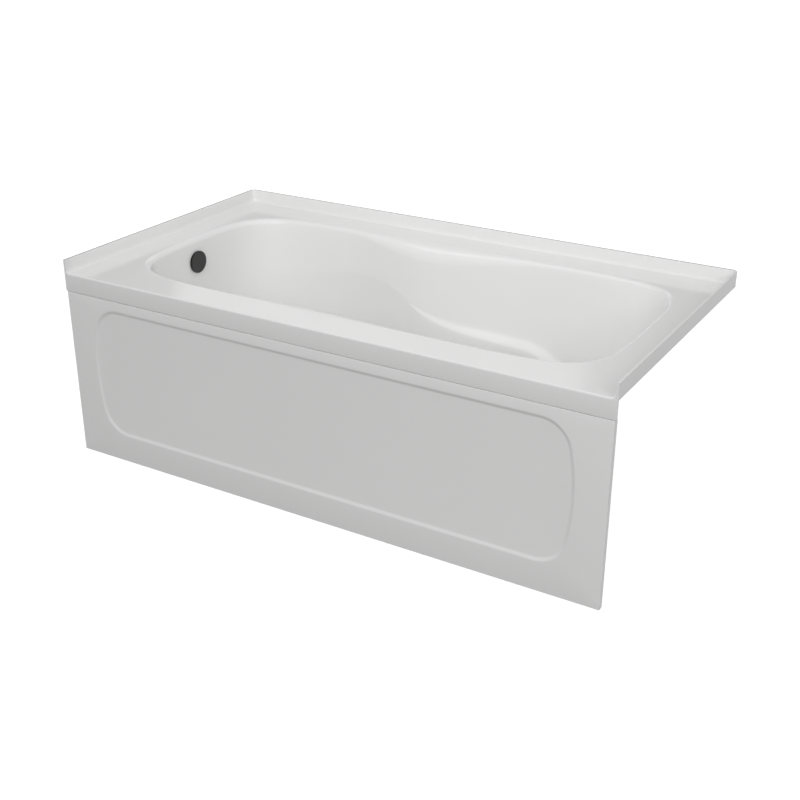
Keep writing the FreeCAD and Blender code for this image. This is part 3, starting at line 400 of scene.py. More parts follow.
def well_wall(w, deck, angles, depth):
    """Wall from rim to floor: each ring is |x|^p + |y|^q = 1, shrunk by the walls' insets.

    The powers p and q fall from the rim to the floor, so that a ring grows rounder on its way down.
    The depth of a point blends the depths of side and end wall by its share of the side wall.
    """
    middle = (w.rim_left + w.rim_right) / 2
    half_long = (w.rim_right - w.rim_left) / 2
    across, up = np.cos(angles), np.sin(angles)
    head = across > 0
    side = np.where(head, 1.0, -1.0)

    def stretch_at(down):
        part = down / (deck - w.drain_z)
        wide_rim = np.where(head, w.rim_square_head, w.rim_square_drain)
        wide = wide_rim + (w.foot_square_across - wide_rim) * part
        long = w.rim_square + (w.foot_square - w.rim_square) * part
        every = np.ones_like(part)
        return square_stretch(across * every, up * every, long, wide), wide

    stretch, wide = stretch_at(np.zeros_like(angles))
    x_rim = middle + half_long * across * stretch
    side_share = np.abs(up * stretch) ** wide
    offset = x_rim - w.waist_x
    swell = 1.0 - ease(np.abs(offset) / np.where(offset > 0, w.waist_head_run, w.waist_foot_run))
    rim = w.rim_round + (w.waist_round - w.rim_round) * swell
    side_in, side_down = wall_profile(w, x_rim, deck, depth, rim, w.side_lean, w.side_lower_lean,
                                      w.side_fillet, armrest(w, x_rim))
    end_in, end_down = wall_profile(w, x_rim, deck, depth, w.rim_round,
                                    np.where(head, w.head_lean, 0.0),
                                    np.where(head, w.head_lower_lean, 0.0),
                                    np.where(head, w.head_fillet, w.drain_fillet))
    down = side_share * side_down + (1 - side_share) * end_down
    stretch, _ = stretch_at(down)
    y = (w.rim_half - side_in) * up * stretch
    bow = w.end_bow * (y / w.rim_half) ** 2 * (1 - side_share)
    x = middle + side * ((half_long - end_in) * np.abs(across) * stretch - bow)
    return np.stack([x, y, deck - down], axis=-1)


def well_surface(w, deck):
    """Rows of the inner surface from the rim, down the wall and over the floor to the drain hole.

    The floor is a flat cone: its height grows with the distance from the drain. Its rows go from
    the wall's foot to the hole as 1 - t along the tub and as (1 - t)(1 - g t (1 - t)) across it,
    so that none of them lies along the foot of a side wall.
    """
    angles = ring_angles()

    def floor_height(x, y):
        return w.drain_z + w.floor_slope * np.hypot(x - w.drain_x, y)

    depth = np.full_like(angles, deck - w.drain_z)
    for _ in range(DEPTH_ROUNDS):
        wall = well_wall(w, deck, angles, depth)
        depth = deck - floor_height(wall[-1, :, 0], wall[-1, :, 1])
    wall = well_wall(w, deck, angles, depth)
    t = (np.arange(1, STEPS["floor"] + 1) / STEPS["floor"])[:, None]
    hole_x = w.drain_x + w.drain_radius * np.cos(angles)
    hole_y = w.drain_radius * np.sin(angles)
    x = hole_x + (wall[-1, :, 0] - hole_x) * (1 - t)
    y = hole_y + (wall[-1, :, 1] - hole_y) * (1 - t) * (1 - w.floor_gather * t * (1 - t))
    floor = np.stack([x, y, floor_height(x, y)], axis=-1)
    return np.concatenate([wall, floor])


def pushed_out(points, distance):
    """Same grid moved by a distance along its normals, away from the well.

    The normal is the cross product of the ways down and round; the first and last rows move down.
    """
    round_way = np.roll(points, -1, axis=1) - np.roll(points, 1, axis=1)
    down_way = np.gradient(points, axis=0)
    normal = np.cross(down_way, round_way)
    normal /= np.linalg.norm(normal, axis=-1, keepdims=True)
    normal[0] = normal[-1] = (0.0, 0.0, -1.0)
    return points + normal * distance


# ---------------------------------------------------------------- shell

# Points along the arcs of corners and front edge, cove, flange top and lip
TURN_STEPS, COVE_STEPS, EDGE_STEPS, LIP_STEPS = 9, 11, 5, 4
DECK_ROWS = (0.0, 0.01, 0.5, 0.97)     # shares of the way from the deck's edge to the rim
UNDER_ROWS = (0.0, 0.5)                # the same on the deck's underside


def deck_rows(b, rim, height, steps):
    """Flat rows from the deck's edge rectangle to the rim ring.

    The rectangle's point in a direction is that direction scaled until its larger part meets a
    side; a row goes a given share of the straight way from it to the rim.
    """
    angles = ring_angles()
    across, up = np.cos(angles), np.sin(angles)
    larger = np.maximum(np.abs(across), np.abs(up))
    x_edge = b.half_long - b.flange - b.cove
    back = b.half_wide - b.flange - b.cove
    front = b.skin - b.half_wide
    outer = np.stack([x_edge * across / larger,
                      (back + front) / 2 + (back - front) / 2 * up / larger,
                      np.full_like(angles, height)], axis=-1)
    inner = rim.copy()
    inner[:, 2] = height
    t = np.array(steps)[:, None, None]
    return outer * (1 - t) + inner * t


def quarter_turn(steps=TURN_STEPS):
    """Even angles from 0 to a quarter turn."""
    return np.radians(np.linspace(0, 90, steps))


def flange_profile(b):
    """Reach outward from the deck's edge, height, and share of the front's droop, down the section.

    A quarter arc at the foot (r sin a, r (1 - cos a)), the upright inner face, a rounded top, the
    outer face and the underside. The share falls evenly from 1 to 0 along the foot's arc.
    """
    turn = quarter_turn(COVE_STEPS)
    wide, under = b.cove + b.flange, b.deck_z - b.skin
    cove = np.stack([b.cove * np.sin(turn), b.deck_z + b.cove * (1 - np.cos(turn)),
                     1 - turn / (np.pi / 2)], axis=-1)
    high = b.flange_top - b.edge
    rest = np.concatenate([corner_arc((b.cove + b.edge, high), b.edge, 180, 90, EDGE_STEPS),
                           corner_arc((wide - b.edge, high), b.edge, 90, 0, EDGE_STEPS),
                           [(wide, under), (0.0, under)]])
    return np.concatenate([cove, np.pad(rest, ((0, 0), (0, 1)))])


def flange_band(b, edge):
    """Flange carried along the right, back and left edges of the deck, its back corners turned.

    A column starts at a point of the deck's edge and reaches outward by the section:
    point + sign * shift + heading * (reach - shift). At a corner the heading turns through a
    quarter and the centre shifts outward, so that the outer radius is the corner's own. At both
    front ends the columns droop: down by skin (1 - cos a), forward by skin sin a.
    """
    n, turn = SIDE_COLUMNS, quarter_turn()
    right, back = edge[n:2 * n + 1], edge[2 * n:3 * n + 1]
    left = np.concatenate([edge[3 * n:], edge[:1]])
    droop = turn[:0:-1]
    runs = [(right[:1], 0.0, 0.0, droop), (right, 0.0, 0.0, 0.0), (right[-1:], turn, 1.0, 0.0),
            (back, np.pi / 2, 0.0, 0.0), (back[-1:], turn + np.pi / 2, -1.0, 0.0),
            (left, np.pi, 0.0, 0.0), (left[-1:], np.pi, 0.0, droop[::-1])]
    x, y, heading, sign, front = np.concatenate(
        [np.stack(np.broadcast_arrays(*start.T[:2], *rest)) for start, *rest in runs], axis=1)
    reach, height, share = (part[:, None] for part in flange_profile(b).T)
    outward = np.clip((reach - b.cove) / b.flange, 0, 1)
    shift = (b.cove + b.flange - b.corner) * outward * np.abs(sign)
    band = np.stack([x + sign * shift + np.cos(heading) * (reach - shift),
                     y + shift + np.sin(heading) * (reach - shift) - b.skin * np.sin(front),
                     height - b.skin * (1 - np.cos(front)) * share], axis=-1)
    return [grid(band), polygon(band[:, 0]), polygon(band[:, -1])]


def front_edge(b, edge):
    """Rounded front edge of the deck and its underside, carried along the front columns.

    A quarter arc, forward by skin sin a and down by skin (1 - cos a), then straight back.
    """
    turn = quarter_turn()
    out = b.skin - b.half_wide - b.skin * np.sin(turn)
    y = np.concatenate([out, out[-2::-1]])
    z = np.concatenate([b.deck_z - b.skin * (1 - np.cos(turn)),
                        np.full(TURN_STEPS - 1, b.deck_z - b.skin)])
    x = edge[:SIDE_COLUMNS + 1, 0]
    return grid(np.stack(np.broadcast_arrays(x, y[:, None], z[:, None]), axis=-1))


def shell_parts(w, b):
    """Closed skin of the tub: inner surface, deck, flange, front edge, lip and underside."""
    face, under = -b.half_wide, b.deck_z - b.skin
    inner = well_surface(w, b.deck_z)
    outer = pushed_out(inner, b.skin)
    outer = np.concatenate([outer[::2], outer[-1:]])
    top_deck = deck_rows(b, inner[0], b.deck_z, DECK_ROWS)
    low_deck = deck_rows(b, inner[0], under, UNDER_ROWS)
    whole = np.concatenate([top_deck, inner, outer[::-1], low_deck[::-1]])
    nose, heel, behind = b.lip_nose, b.lip_heel, face + b.skin
    lip = np.concatenate([corner_arc((face + nose, b.lip_z + nose), nose, 180, 270, LIP_STEPS),
                          corner_arc((behind - heel, b.lip_z + heel), heel, 270, 360, LIP_STEPS),
                          [(behind, under), (face, under)]])
    return ([grid(whole, closed=True)] + flange_band(b, top_deck[0])
            + [front_edge(b, top_deck[0])] + carried(lip, -b.half_long, b.half_long, 0))


# ---------------------------------------------------------------- skirt

# Points along a quarter of the panel's outline, down its step, and round the skirt's edge
SIDE_POINTS, CORNER_POINTS, END_POINTS, SLOPE_POINTS, ROUND_POINTS = 25, 17, 11, 11, 7


def four_quarters(quarter, middle):
    """Outline whose upper right quarter is given, mirrored in a height and in X = 0."""
    lower = quarter[::-1][1:] * (1.0, -1.0) + (0.0, 2 * middle)
    right = np.concatenate([quarter, lower])
    return np.concatenate([right, right[::-1][1:-1] * (-1.0, 1.0)])


def panel_outline(b, grow):
    """Panel outline grown by a distance: straight sides, corner arcs, bowed ends they touch."""
    low, high = b.panel_low - grow, b.panel_high + grow
    middle = (low + high) / 2
    corner = b.panel_corner + grow
    end_x = b.panel_half + grow - b.panel_bow
    rise = high - corner - middle
    corner_x = end_x + math.sqrt((b.panel_bow - corner) ** 2 - rise ** 2)
    lean = math.degrees(math.atan2(rise, corner_x - end_x))
    side = np.stack([np.linspace(0, corner_x, SIDE_POINTS), np.full(SIDE_POINTS, high)], axis=-1)
    return four_quarters(np.concatenate([
        side[:-1], corner_arc((corner_x, middle + rise), corner, 90, lean, CORNER_POINTS)[:-1],
        corner_arc((end_x, middle), b.panel_bow, lean, 0, END_POINTS)]), middle)


def skirt_rectangle(b, inset):
    """Outline of the skirt with as many points as the panel's, its corners at the arcs' middles."""
    wide, high, middle = b.skirt_half - inset, b.skirt_top - inset, b.skirt_top / 2
    half_corner = CORNER_POINTS // 2
    along, down = SIDE_POINTS + half_corner, END_POINTS + half_corner
    return four_quarters(np.concatenate([
        np.stack([np.linspace(0, wide, along), np.full(along, high)], axis=-1)[:-1],
        np.stack([np.full(down, wide), np.linspace(high, middle, down)], axis=-1)]), middle)


def skirt_parts(b):
    """Closed skirt: recessed panel, flat border and rounded edges in front, the same form behind.

    The step's depth is a smooth step over its width. The edge is a quarter arc: in by
    r (1 - sin a), back by r (1 - cos a). The side returns and the tongue are prisms.
    """
    face, back = -b.half_wide, b.skirt_skin - b.half_wide

    def at_depth(outline, y):
        return np.stack([outline[:, 0], np.full(len(outline), y), outline[:, 1]], axis=-1)

    def panel_row(part, grow, y):
        outline = panel_outline(b, grow - b.panel_slope * part)
        return at_depth(outline, y + b.panel_deep * ease(part))

    part = np.linspace(0, 1, SLOPE_POINTS)
    whole = np.stack(
        [panel_row(p, 0.0, face) for p in part[::-1]]
        + [at_depth(panel_outline(b, b.panel_margin), face)]
        + [at_depth(skirt_rectangle(b, b.skirt_edge * (1 - math.sin(a))),
                    face + b.skirt_edge * (1 - math.cos(a))) for a in quarter_turn(ROUND_POINTS)]
        + [at_depth(skirt_rectangle(b, 0.0), back)]
        + [panel_row(p, b.skirt_skin, back) for p in part[::2]])
    parts = [grid(whole, closed=True), polygon(whole[0]), polygon(whole[-1])]
    inner, deep = b.skirt_half - b.skirt_skin, b.skirt_return - b.half_wide
    for side in (-1.0, 1.0):
        section = np.array([(side * inner, back), (side * b.skirt_half, back),
                            (side * b.skirt_half, deep), (side * inner, deep)])
        parts += carried(section, 0.0, b.skirt_top, 2)
    lip_back, tongue_back = b.skin - b.half_wide, back + b.skin
    tongue = np.array([(back, b.tongue_low), (back, b.skirt_top), (lip_back, b.skirt_top),
                       (lip_back, b.tongue_high), (tongue_back, b.tongue_high),
                       (tongue_back, b.tongue_low)])
    return parts + carried(tongue, -b.tongue_half, b.tongue_half, 0)


# ---------------------------------------------------------------- knob and stopper

# Columns round a turned piece, and points along the parts of its profile
ROUND_COLUMNS, BACK_POINTS, FRONT_POINTS, DISH_POINTS, RIM_POINTS, DOME_POINTS = 96, 6, 8, 12, 5, 16
BACK_START, RIM_START = -75.0, -70.0   # degrees at which an edge's arc leaves the flat face


def knob_profile(t, back, front, radius):
    """Radius and height from the hub's back, over the plate's edge and face, and down the bore.

    Arcs at both edges of the plate; its face is front - dish (1 - (r / radius)^2).
    """
    hub = back + t.knob_lift
    socket = hub + t.knob_socket
    behind, before = t.knob_back_edge, t.knob_front_edge
    r = np.linspace(radius - before, 0.0, DISH_POINTS)[1:]
    return np.concatenate([
        [(t.knob_bore, back), (t.knob_hub, back), (t.knob_hub, hub), (radius - behind, hub)],
        corner_arc((radius - behind, hub + behind), behind, BACK_START, 0, BACK_POINTS),
        corner_arc((radius - before, front - before), before, 0, 90, FRONT_POINTS),
        np.stack([r, front - t.knob_dish * (1 - (r / radius) ** 2)], axis=-1),
        [(0.0, socket), (t.knob_bore, socket), (t.knob_bore, back)]])


def stopper_profile(t, foot, top, radius):
    """Radius and height from the foot of the stem, under the cap and over its dome.

    An arc at the cap's lower edge; the dome's height is the share (1 - p^k)^(1/2) at radius p.
    """
    cap, edge = top - t.cap, t.cap_edge
    p = np.linspace(1.0, 0.0, DOME_POINTS)[1:]
    return np.concatenate([
        [(0.0, foot), (t.stem - t.stem_bevel, foot), (t.stem, foot + t.stem_bevel), (t.stem, cap),
         (radius - edge, cap)],
        corner_arc((radius - edge, cap + edge), edge, RIM_START, 0, RIM_POINTS),
        np.stack([radius * p, cap + edge + (t.cap - edge) * np.sqrt(1 - p ** t.dome)], axis=-1)])


# ---------------------------------------------------------------- finishes

# Finish: its colour in BathFinish, roughness, grains per metre, relief in metres, metallic, spread
SPECKLED = {
    "dark_satin_metal": ("dark", 0.38, 900.0, 0.00005, 0.0, 0.12),
    "moulded_retainer": ("plastic", 0.50, 700.0, 0.0001, 0.0, 0.12),
    "plain_brass": ("brass", 0.28, 500.0, 0.00003, 1.0, 0.06),
    "black_rubber": ("rubber", 0.70, 800.0, 0.0002, 0.0, 0.12),
    "waste_pipe_plastic": ("plastic", 0.34, 500.0, 0.00008, 0.0, 0.12),
    "slip_nut_plastic": ("nut", 0.50, 700.0, 0.00015, 0.0, 0.12),
    "washer_plastic": ("washer", 0.55, 600.0, 0.0001, 0.0, 0.12),
    "sheath_plastic": ("plastic", 0.45, 900.0, 0.0001, 0.0, 0.12),
    "bedding_foam": ("foam", 0.85, 180.0, 0.0012, 0.0, 0.15),
    "zinc_screw_steel": ("steel", 0.35, 600.0, 0.00004, 1.0, 0.08),
}
TIMBER_AXES = {"timber_along_x": 0, "timber_along_y": 1, "timber_along_z": 2}
GRAIN_STRETCH = 0.06                   # scale of the timber's pattern along its grain
# Painted shade: where the grey line on the flange's top edge begins, at the back and the drain end
EDGE_SHADE_WIDE = (0.0055, 0.005)            # metres from the outer face between which the grey begins
EDGE_SHADE_DEEP = (0.0014, 0.0010)           # metres under the flange's top between which it begins
RAMP = (0.3, 0.7)                      # span of a cloudy pattern that holds most of its values


class Nodes:
    """Node tree of a material or world while it is put together."""

    def __init__(self, owner):
        owner.use_nodes = True
        self.tree = owner.node_tree

    def join(self, node, sockets):
        """Link each named socket, or give it its constant."""
        for key, value in sockets.items():
            if isinstance(value, bpy.types.NodeSocket):
                self.tree.links.new(value, node.inputs[key])
            else:
                node.inputs[key].default_value = value

    def add(self, kind, sockets=None, **settings):
        """Outputs of a new shader node with the given settings and sockets."""
        node = self.tree.nodes.new("ShaderNode" + kind)
        for key, setting in settings.items():
            setattr(node, key, setting)
        self.join(node, sockets or {})
        return node.outputs

    def maths(self, operation, first, second):
        """Result of a calculation on two values."""
        return self.add("Math", {0: first, 1: second}, operation=operation)["Value"]

    def ranged(self, value, low, high, start=RAMP[0], end=RAMP[1], **settings):
        """Value spread from the given span onto a new range, held at its ends."""
        return self.add("MapRange", {"From Min": start, "From Max": end, "To Min": low,
                                     "To Max": high, "Value": value}, **settings)["Result"]

    def seen_directly(self, rays):
        """1 for rays of the camera, of mirrors and through glass, and 0 for the light itself."""
        seen = self.maths("MAXIMUM", rays["Is Camera Ray"], rays["Is Glossy Ray"])
        return self.maths("MAXIMUM", seen, rays["Is Transmission Ray"])


class Finish(Nodes):
    """Material with its shader and the object's own coordinates."""

    def __init__(self, name, rough, metallic=0.0, ior=1.5):
        self.material = bpy.data.materials.new(name)
        super().__init__(self.material)
        self.shader = self.tree.nodes["Principled BSDF"]
        self.join(self.shader, {"Roughness": rough, "Metallic": metallic, "IOR": ior})
        self.place = self.add("TexCoord")["Object"]

    def stretched(self, *scale):
        """Coordinates scaled differently along each axis."""
        return self.add("Mapping", {"Vector": self.place, "Scale": scale})["Vector"]

    def axes(self, vector):
        """X, Y and Z of a vector."""
        return self.add("SeparateXYZ", {"Vector": vector})

    def noise(self, scale, detail=3.0, roughness=0.5, place=None):
        """Cloudy pattern with a given number of features per metre."""
        return self.add("TexNoise", {"Scale": scale, "Detail": detail, "Roughness": roughness,
                                     "Vector": place or self.place})["Fac"]

    def two_tone(self, value, first, second):
        """Colour that runs from the first to the second with a value."""
        ramp = self.tree.nodes.new("ShaderNodeValToRGB")
        for element, position, tone in zip(ramp.color_ramp.elements, RAMP, (first, second)):
            element.position = position
            element.color = (*tone, 1.0)
        self.join(ramp, {"Fac": value})
        return ramp.outputs["Color"]

    def shaded(self, value, tone, spread):
        """Colour made darker and lighter by a share of itself with a value."""
        dark, light = ([min(1.0, part * amount) for part in tone]
                       for amount in (1 - spread, 1 + spread))
        return self.two_tone(value, dark, light)

    def show(self, colour, rough, relief, strength, distance):
        """Give the shader its colour and roughness, and its relief as a bump."""
        normal = self.add("Bump", {"Strength": strength, "Distance": distance, "Height": relief})
        self.join(self.shader, {"Base Color": colour, "Roughness": rough,
                                "Normal": normal["Normal"]})
        return self.material


def acrylic_finish(f, b):
    """Polished white acrylic: faint cloudiness, uneven polish and the ripple of a formed sheet.

    Along the back and the drain end, a grey line of painted shade lies on the top edge of the
    tiling flange, standing for the darker look of that narrow upward face.
    """
    finish = Finish("white_acrylic", f.acrylic_rough, ior=1.49)
    axes = finish.axes(finish.place)
    # Mask of the painted shade: near the back or the drain end, and near the top of the flange
    drain_end = finish.ranged(axes["X"], 0.0, 1.0, *(wide - b.half_long for wide in EDGE_SHADE_WIDE))
    back = finish.ranged(axes["Y"], 0.0, 1.0, *(b.half_wide - wide for wide in EDGE_SHADE_WIDE))
    high = finish.ranged(axes["Z"], 0.0, 1.0, *(b.flange_top - deep for deep in EDGE_SHADE_DEEP))
    painted_edge_shade = finish.maths("MULTIPLY", finish.maths("MAXIMUM", drain_end, back), high)
    white = finish.shaded(finish.noise(3.5, detail=2.0), f.acrylic, spread=0.005)
    tone = finish.add("Mix", {"Factor": painted_edge_shade, "A": white, "B": (*f.painted_edge_grey, 1.0)},
                      data_type="RGBA")["Result"]
    polish = finish.ranged(finish.noise(9.0, detail=4.0), f.acrylic_rough * 0.8,
                           f.acrylic_rough * 1.25)
    ripple = finish.noise(26.0, detail=1.0)
    return finish.show(tone, polish, ripple, strength=0.05, distance=0.002)


def speckled_finish(f, name):
    """Moulded or coated surface: fine grain in the relief, gentle change of tone and gloss."""
    colour, rough, grains, relief, metallic, spread = SPECKLED[name]
    finish = Finish(name, rough, metallic)
    broad = finish.noise(grains * 0.06)
    fine = finish.noise(grains)
    return finish.show(finish.shaded(broad, getattr(f, colour), spread),
                       finish.ranged(fine, rough * 0.85, rough * 1.15), fine,
                       strength=0.35, distance=relief)


def timber_finish(f, name):
    """Planed softwood: long streaks of grain along one axis, darker bands and open pores."""
    finish = Finish(name, 0.62)
    scale = [1.0, 1.0, 1.0]
    scale[TIMBER_AXES[name]] = GRAIN_STRETCH
    grain = finish.stretched(*scale)
    band = finish.noise(70.0, roughness=0.45, place=grain)
    pores = finish.noise(600.0, detail=2.0, place=grain)
    return finish.show(finish.two_tone(band, f.timber_dark, f.timber),
                       finish.ranged(pores, 0.52, 0.72), pores, strength=0.3, distance=0.0006)


def plywood_finish(f):
    """Plywood: wavy rotary-cut figure on the faces, and light and dark plies at the edges."""
    finish = Finish("plywood_board", 0.66)
    figure = finish.add("TexWave", {"Scale": 9.0, "Distortion": 14.0, "Detail": 3.0,
                                    "Detail Scale": 0.6,
                                    "Vector": finish.stretched(0.12, 1.0, 1.0)})
    plies = finish.add("TexWave", {"Scale": 75.0, "Vector": finish.place}, bands_direction="Z")
    facing = finish.add("VectorMath", {0: finish.add("NewGeometry")["True Normal"]},
                        operation="ABSOLUTE")
    pick = finish.add("Mix", {"Factor": finish.axes(facing["Vector"])["Z"], "A": plies["Fac"],
                              "B": figure["Fac"]})
    pores = finish.noise(500.0, detail=2.0, place=finish.stretched(0.08, 1.0, 1.0))
    return finish.show(finish.two_tone(pick["Result"], f.veneer_dark, f.veneer),
                       finish.ranged(pores, 0.56, 0.76), pores, strength=0.25, distance=0.0005)


def fibreglass_finish(f):
    """Sprayed glass and resin: crossing strands and a lumpy, half-gloss surface."""
    finish = Finish("glass_and_resin", 0.42)
    strands = finish.add("TexVoronoi", {"Scale": 90.0, "Vector": finish.stretched(1.0, 0.55, 1.6)},
                         feature="DISTANCE_TO_EDGE")
    lumps = finish.noise(35.0, detail=5.0, roughness=0.6)
    mixed = finish.maths("ADD", finish.ranged(strands["Distance"], 0.0, 0.5, 0.0, 0.12), lumps)
    tone = finish.two_tone(lumps, [part * 0.8 for part in f.resin],
                           [part * 1.12 for part in f.resin])
    return finish.show(tone, finish.ranged(lumps, 0.32, 0.6), mixed, strength=0.5, distance=0.0015)


# ---------------------------------------------------------------- operators

class BATH_OT_shell(bpy.types.Operator):
    """Make the acrylic shell: well, deck, tiling flange and front lip"""

    bl_idname = "bath.shell"
    bl_label = "Acrylic shell"

    def execute(self, context):
        scene = context.scene
        material = acrylic_finish(scene.bath_finish, scene.bath_body)
        make_piece("acrylic_shell", shell_parts(scene.bath_well, scene.bath_body),
                   material, "tub_shell")
        return {"FINISHED"}


class BATH_OT_skirt(bpy.types.Operator):
    """Make the front skirt with its recessed panel"""

    bl_idname = "bath.skirt"
    bl_label = "Front skirt"

    def execute(self, context):
        make_piece("panelled_skirt", skirt_parts(context.scene.bath_body),
                   bpy.data.materials["white_acrylic"], "front_skirt")
        return {"FINISHED"}


class BATH_OT_backing(bpy.types.Operator):
    """Make the sprayed backing under the well"""

    bl_idname = "bath.backing"
    bl_label = "Fibreglass backing"

    def execute(self, context):
        scene = context.scene
        b = scene.bath_body
        inner = well_surface(scene.bath_well, b.deck_z)
        near = pushed_out(inner, b.skin)[1::2]
        far = pushed_out(inner, b.skin + b.backing)[1::2]
        near[0, :, 2] = far[0, :, 2]
        whole = np.concatenate([near, far[::-1], near[:1]])
        make_piece("sprayed_backing", [grid(whole, closed=True)],
                   fibreglass_finish(scene.bath_finish), "fibreglass_backing")
        return {"FINISHED"}


class BATH_OT_knob(bpy.types.Operator):
    """Make the overflow knob, and finish its retainer and spindle and the lift pin"""

    bl_idname = "bath.knob"
    bl_label = "Overflow knob"

    def execute(self, context):
        scene = context.scene
        f = scene.bath_finish
        low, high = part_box("overflow_knob")
        points, faces = turned(knob_profile(scene.bath_fittings, low[0], high[0],
                                            (high[2] - low[2]) / 2), ROUND_COLUMNS)
        points = np.stack([points[:, 2], (low[1] + high[1]) / 2 + points[:, 0],
                           (low[2] + high[2]) / 2 + points[:, 1]], axis=-1)
        make_piece("turn_knob", [(points, faces)],
                   speckled_finish(f, "dark_satin_metal"), "overflow_knob", body="overflow_knob")
        dress(speckled_finish(f, "moulded_retainer"), "overflow_retainer")
        dress(speckled_finish(f, "plain_brass"), "overflow_spindle", "lift_pin")
        return {"FINISHED"}


class BATH_OT_drain(bpy.types.Operator):
    """Make the stopper, and finish the drain flange, gaskets and seal"""

    bl_idname = "bath.drain"
    bl_label = "Drain and stopper"

    def execute(self, context):
        scene = context.scene
        low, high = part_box("drain_stopper")
        points, faces = turned(stopper_profile(scene.bath_fittings, low[2], high[2],
                                               (high[0] - low[0]) / 2), ROUND_COLUMNS)
        points[:, 0] += (low[0] + high[0]) / 2
        material = bpy.data.materials["dark_satin_metal"]
        make_piece("domed_stopper", [(points, faces)], material, "drain_stopper",
                   body="stopper")
        dress(material, "drain_flange")
        dress(speckled_finish(scene.bath_finish, "black_rubber"), "overflow_gasket",
              "drain_gasket", "stopper_seal")
        return {"FINISHED"}


class BATH_OT_waste(bpy.types.Operator):
    """Finish the waste pipes, nuts, washers and cable sheath"""

    bl_idname = "bath.waste"
    bl_label = "Waste pipes"

    def execute(self, context):
        f = context.scene.bath_finish
        dress(speckled_finish(f, "waste_pipe_plastic"), "overflow_elbow", "overflow_tube",
              "waste_tee", "shoe_tube", "drain_shoe")
        dress(speckled_finish(f, "slip_nut_plastic"), "slip_nuts")
        dress(speckled_finish(f, "washer_plastic"), "slip_washers")
        dress(speckled_finish(f, "sheath_plastic"), "cable_sheath")
        return {"FINISHED"}


PLACES = ("drain_end", "middle", "head_end")


class BATH_OT_timber(bpy.types.Operator):
    """Finish the timber rails, posts, bearers, base board, bedding and screws"""

    bl_idname = "bath.timber"
    bl_label = "Timber base"

    def execute(self, context):
        f = context.scene.bath_finish
        dress(timber_finish(f, "timber_along_x"), "front_deck_rail", "back_deck_rail",
              "skirt_foot_rail")
        dress(plywood_finish(f), "base_board")
        dress(timber_finish(f, "timber_along_y"), "drain_end_rail", "head_end_rail",
              "skirt_brace_drain_end", "skirt_brace_head_end",
              *("base_bearer_" + place for place in PLACES))
        dress(timber_finish(f, "timber_along_z"), *("skirt_post_" + place for place in PLACES))
        dress(speckled_finish(f, "bedding_foam"), "floor_bedding")
        dress(speckled_finish(f, "zinc_screw_steel"), "bearer_screws", "brace_screws")
        return {"FINISHED"}


# Lamp: its place, the point it faces, its sides in metres; its power is BathLight's
LAMPS = {
    "key": ((1.1, -5.0, 3.6), (0.0, 0.0, 0.3), (2.6, 2.6)),
    "side": ((4.2, -3.2, 3.0), (0.0, 0.0, 0.3), (2.0, 2.0)),
    "sheen": ((-1.8, 2.6, 2.05), (-1.8, 0.0, 1.2), (2.6, 0.7)),
    "top": ((-0.1, 0.12, 1.55), (-0.1, 0.12, 0.0), (1.4, 0.4)),
}
CEILING_SPAN = (0.10, 0.30)            # upward share of a mirrored direction over which it dims
FLOOR_REACH = 14.0                     # metres from the middle to an edge of the floor
FLOOR_LIT, FLOOR_SEEN = 0.05, 0.22     # grey of the floor to the light and to the camera
FLOOR_GLOW = 0.94                      # lifts what the camera sees of the floor to white
SENSOR_WIDTH, VIEW_END = 36.0, 60.0    # millimetres and metres


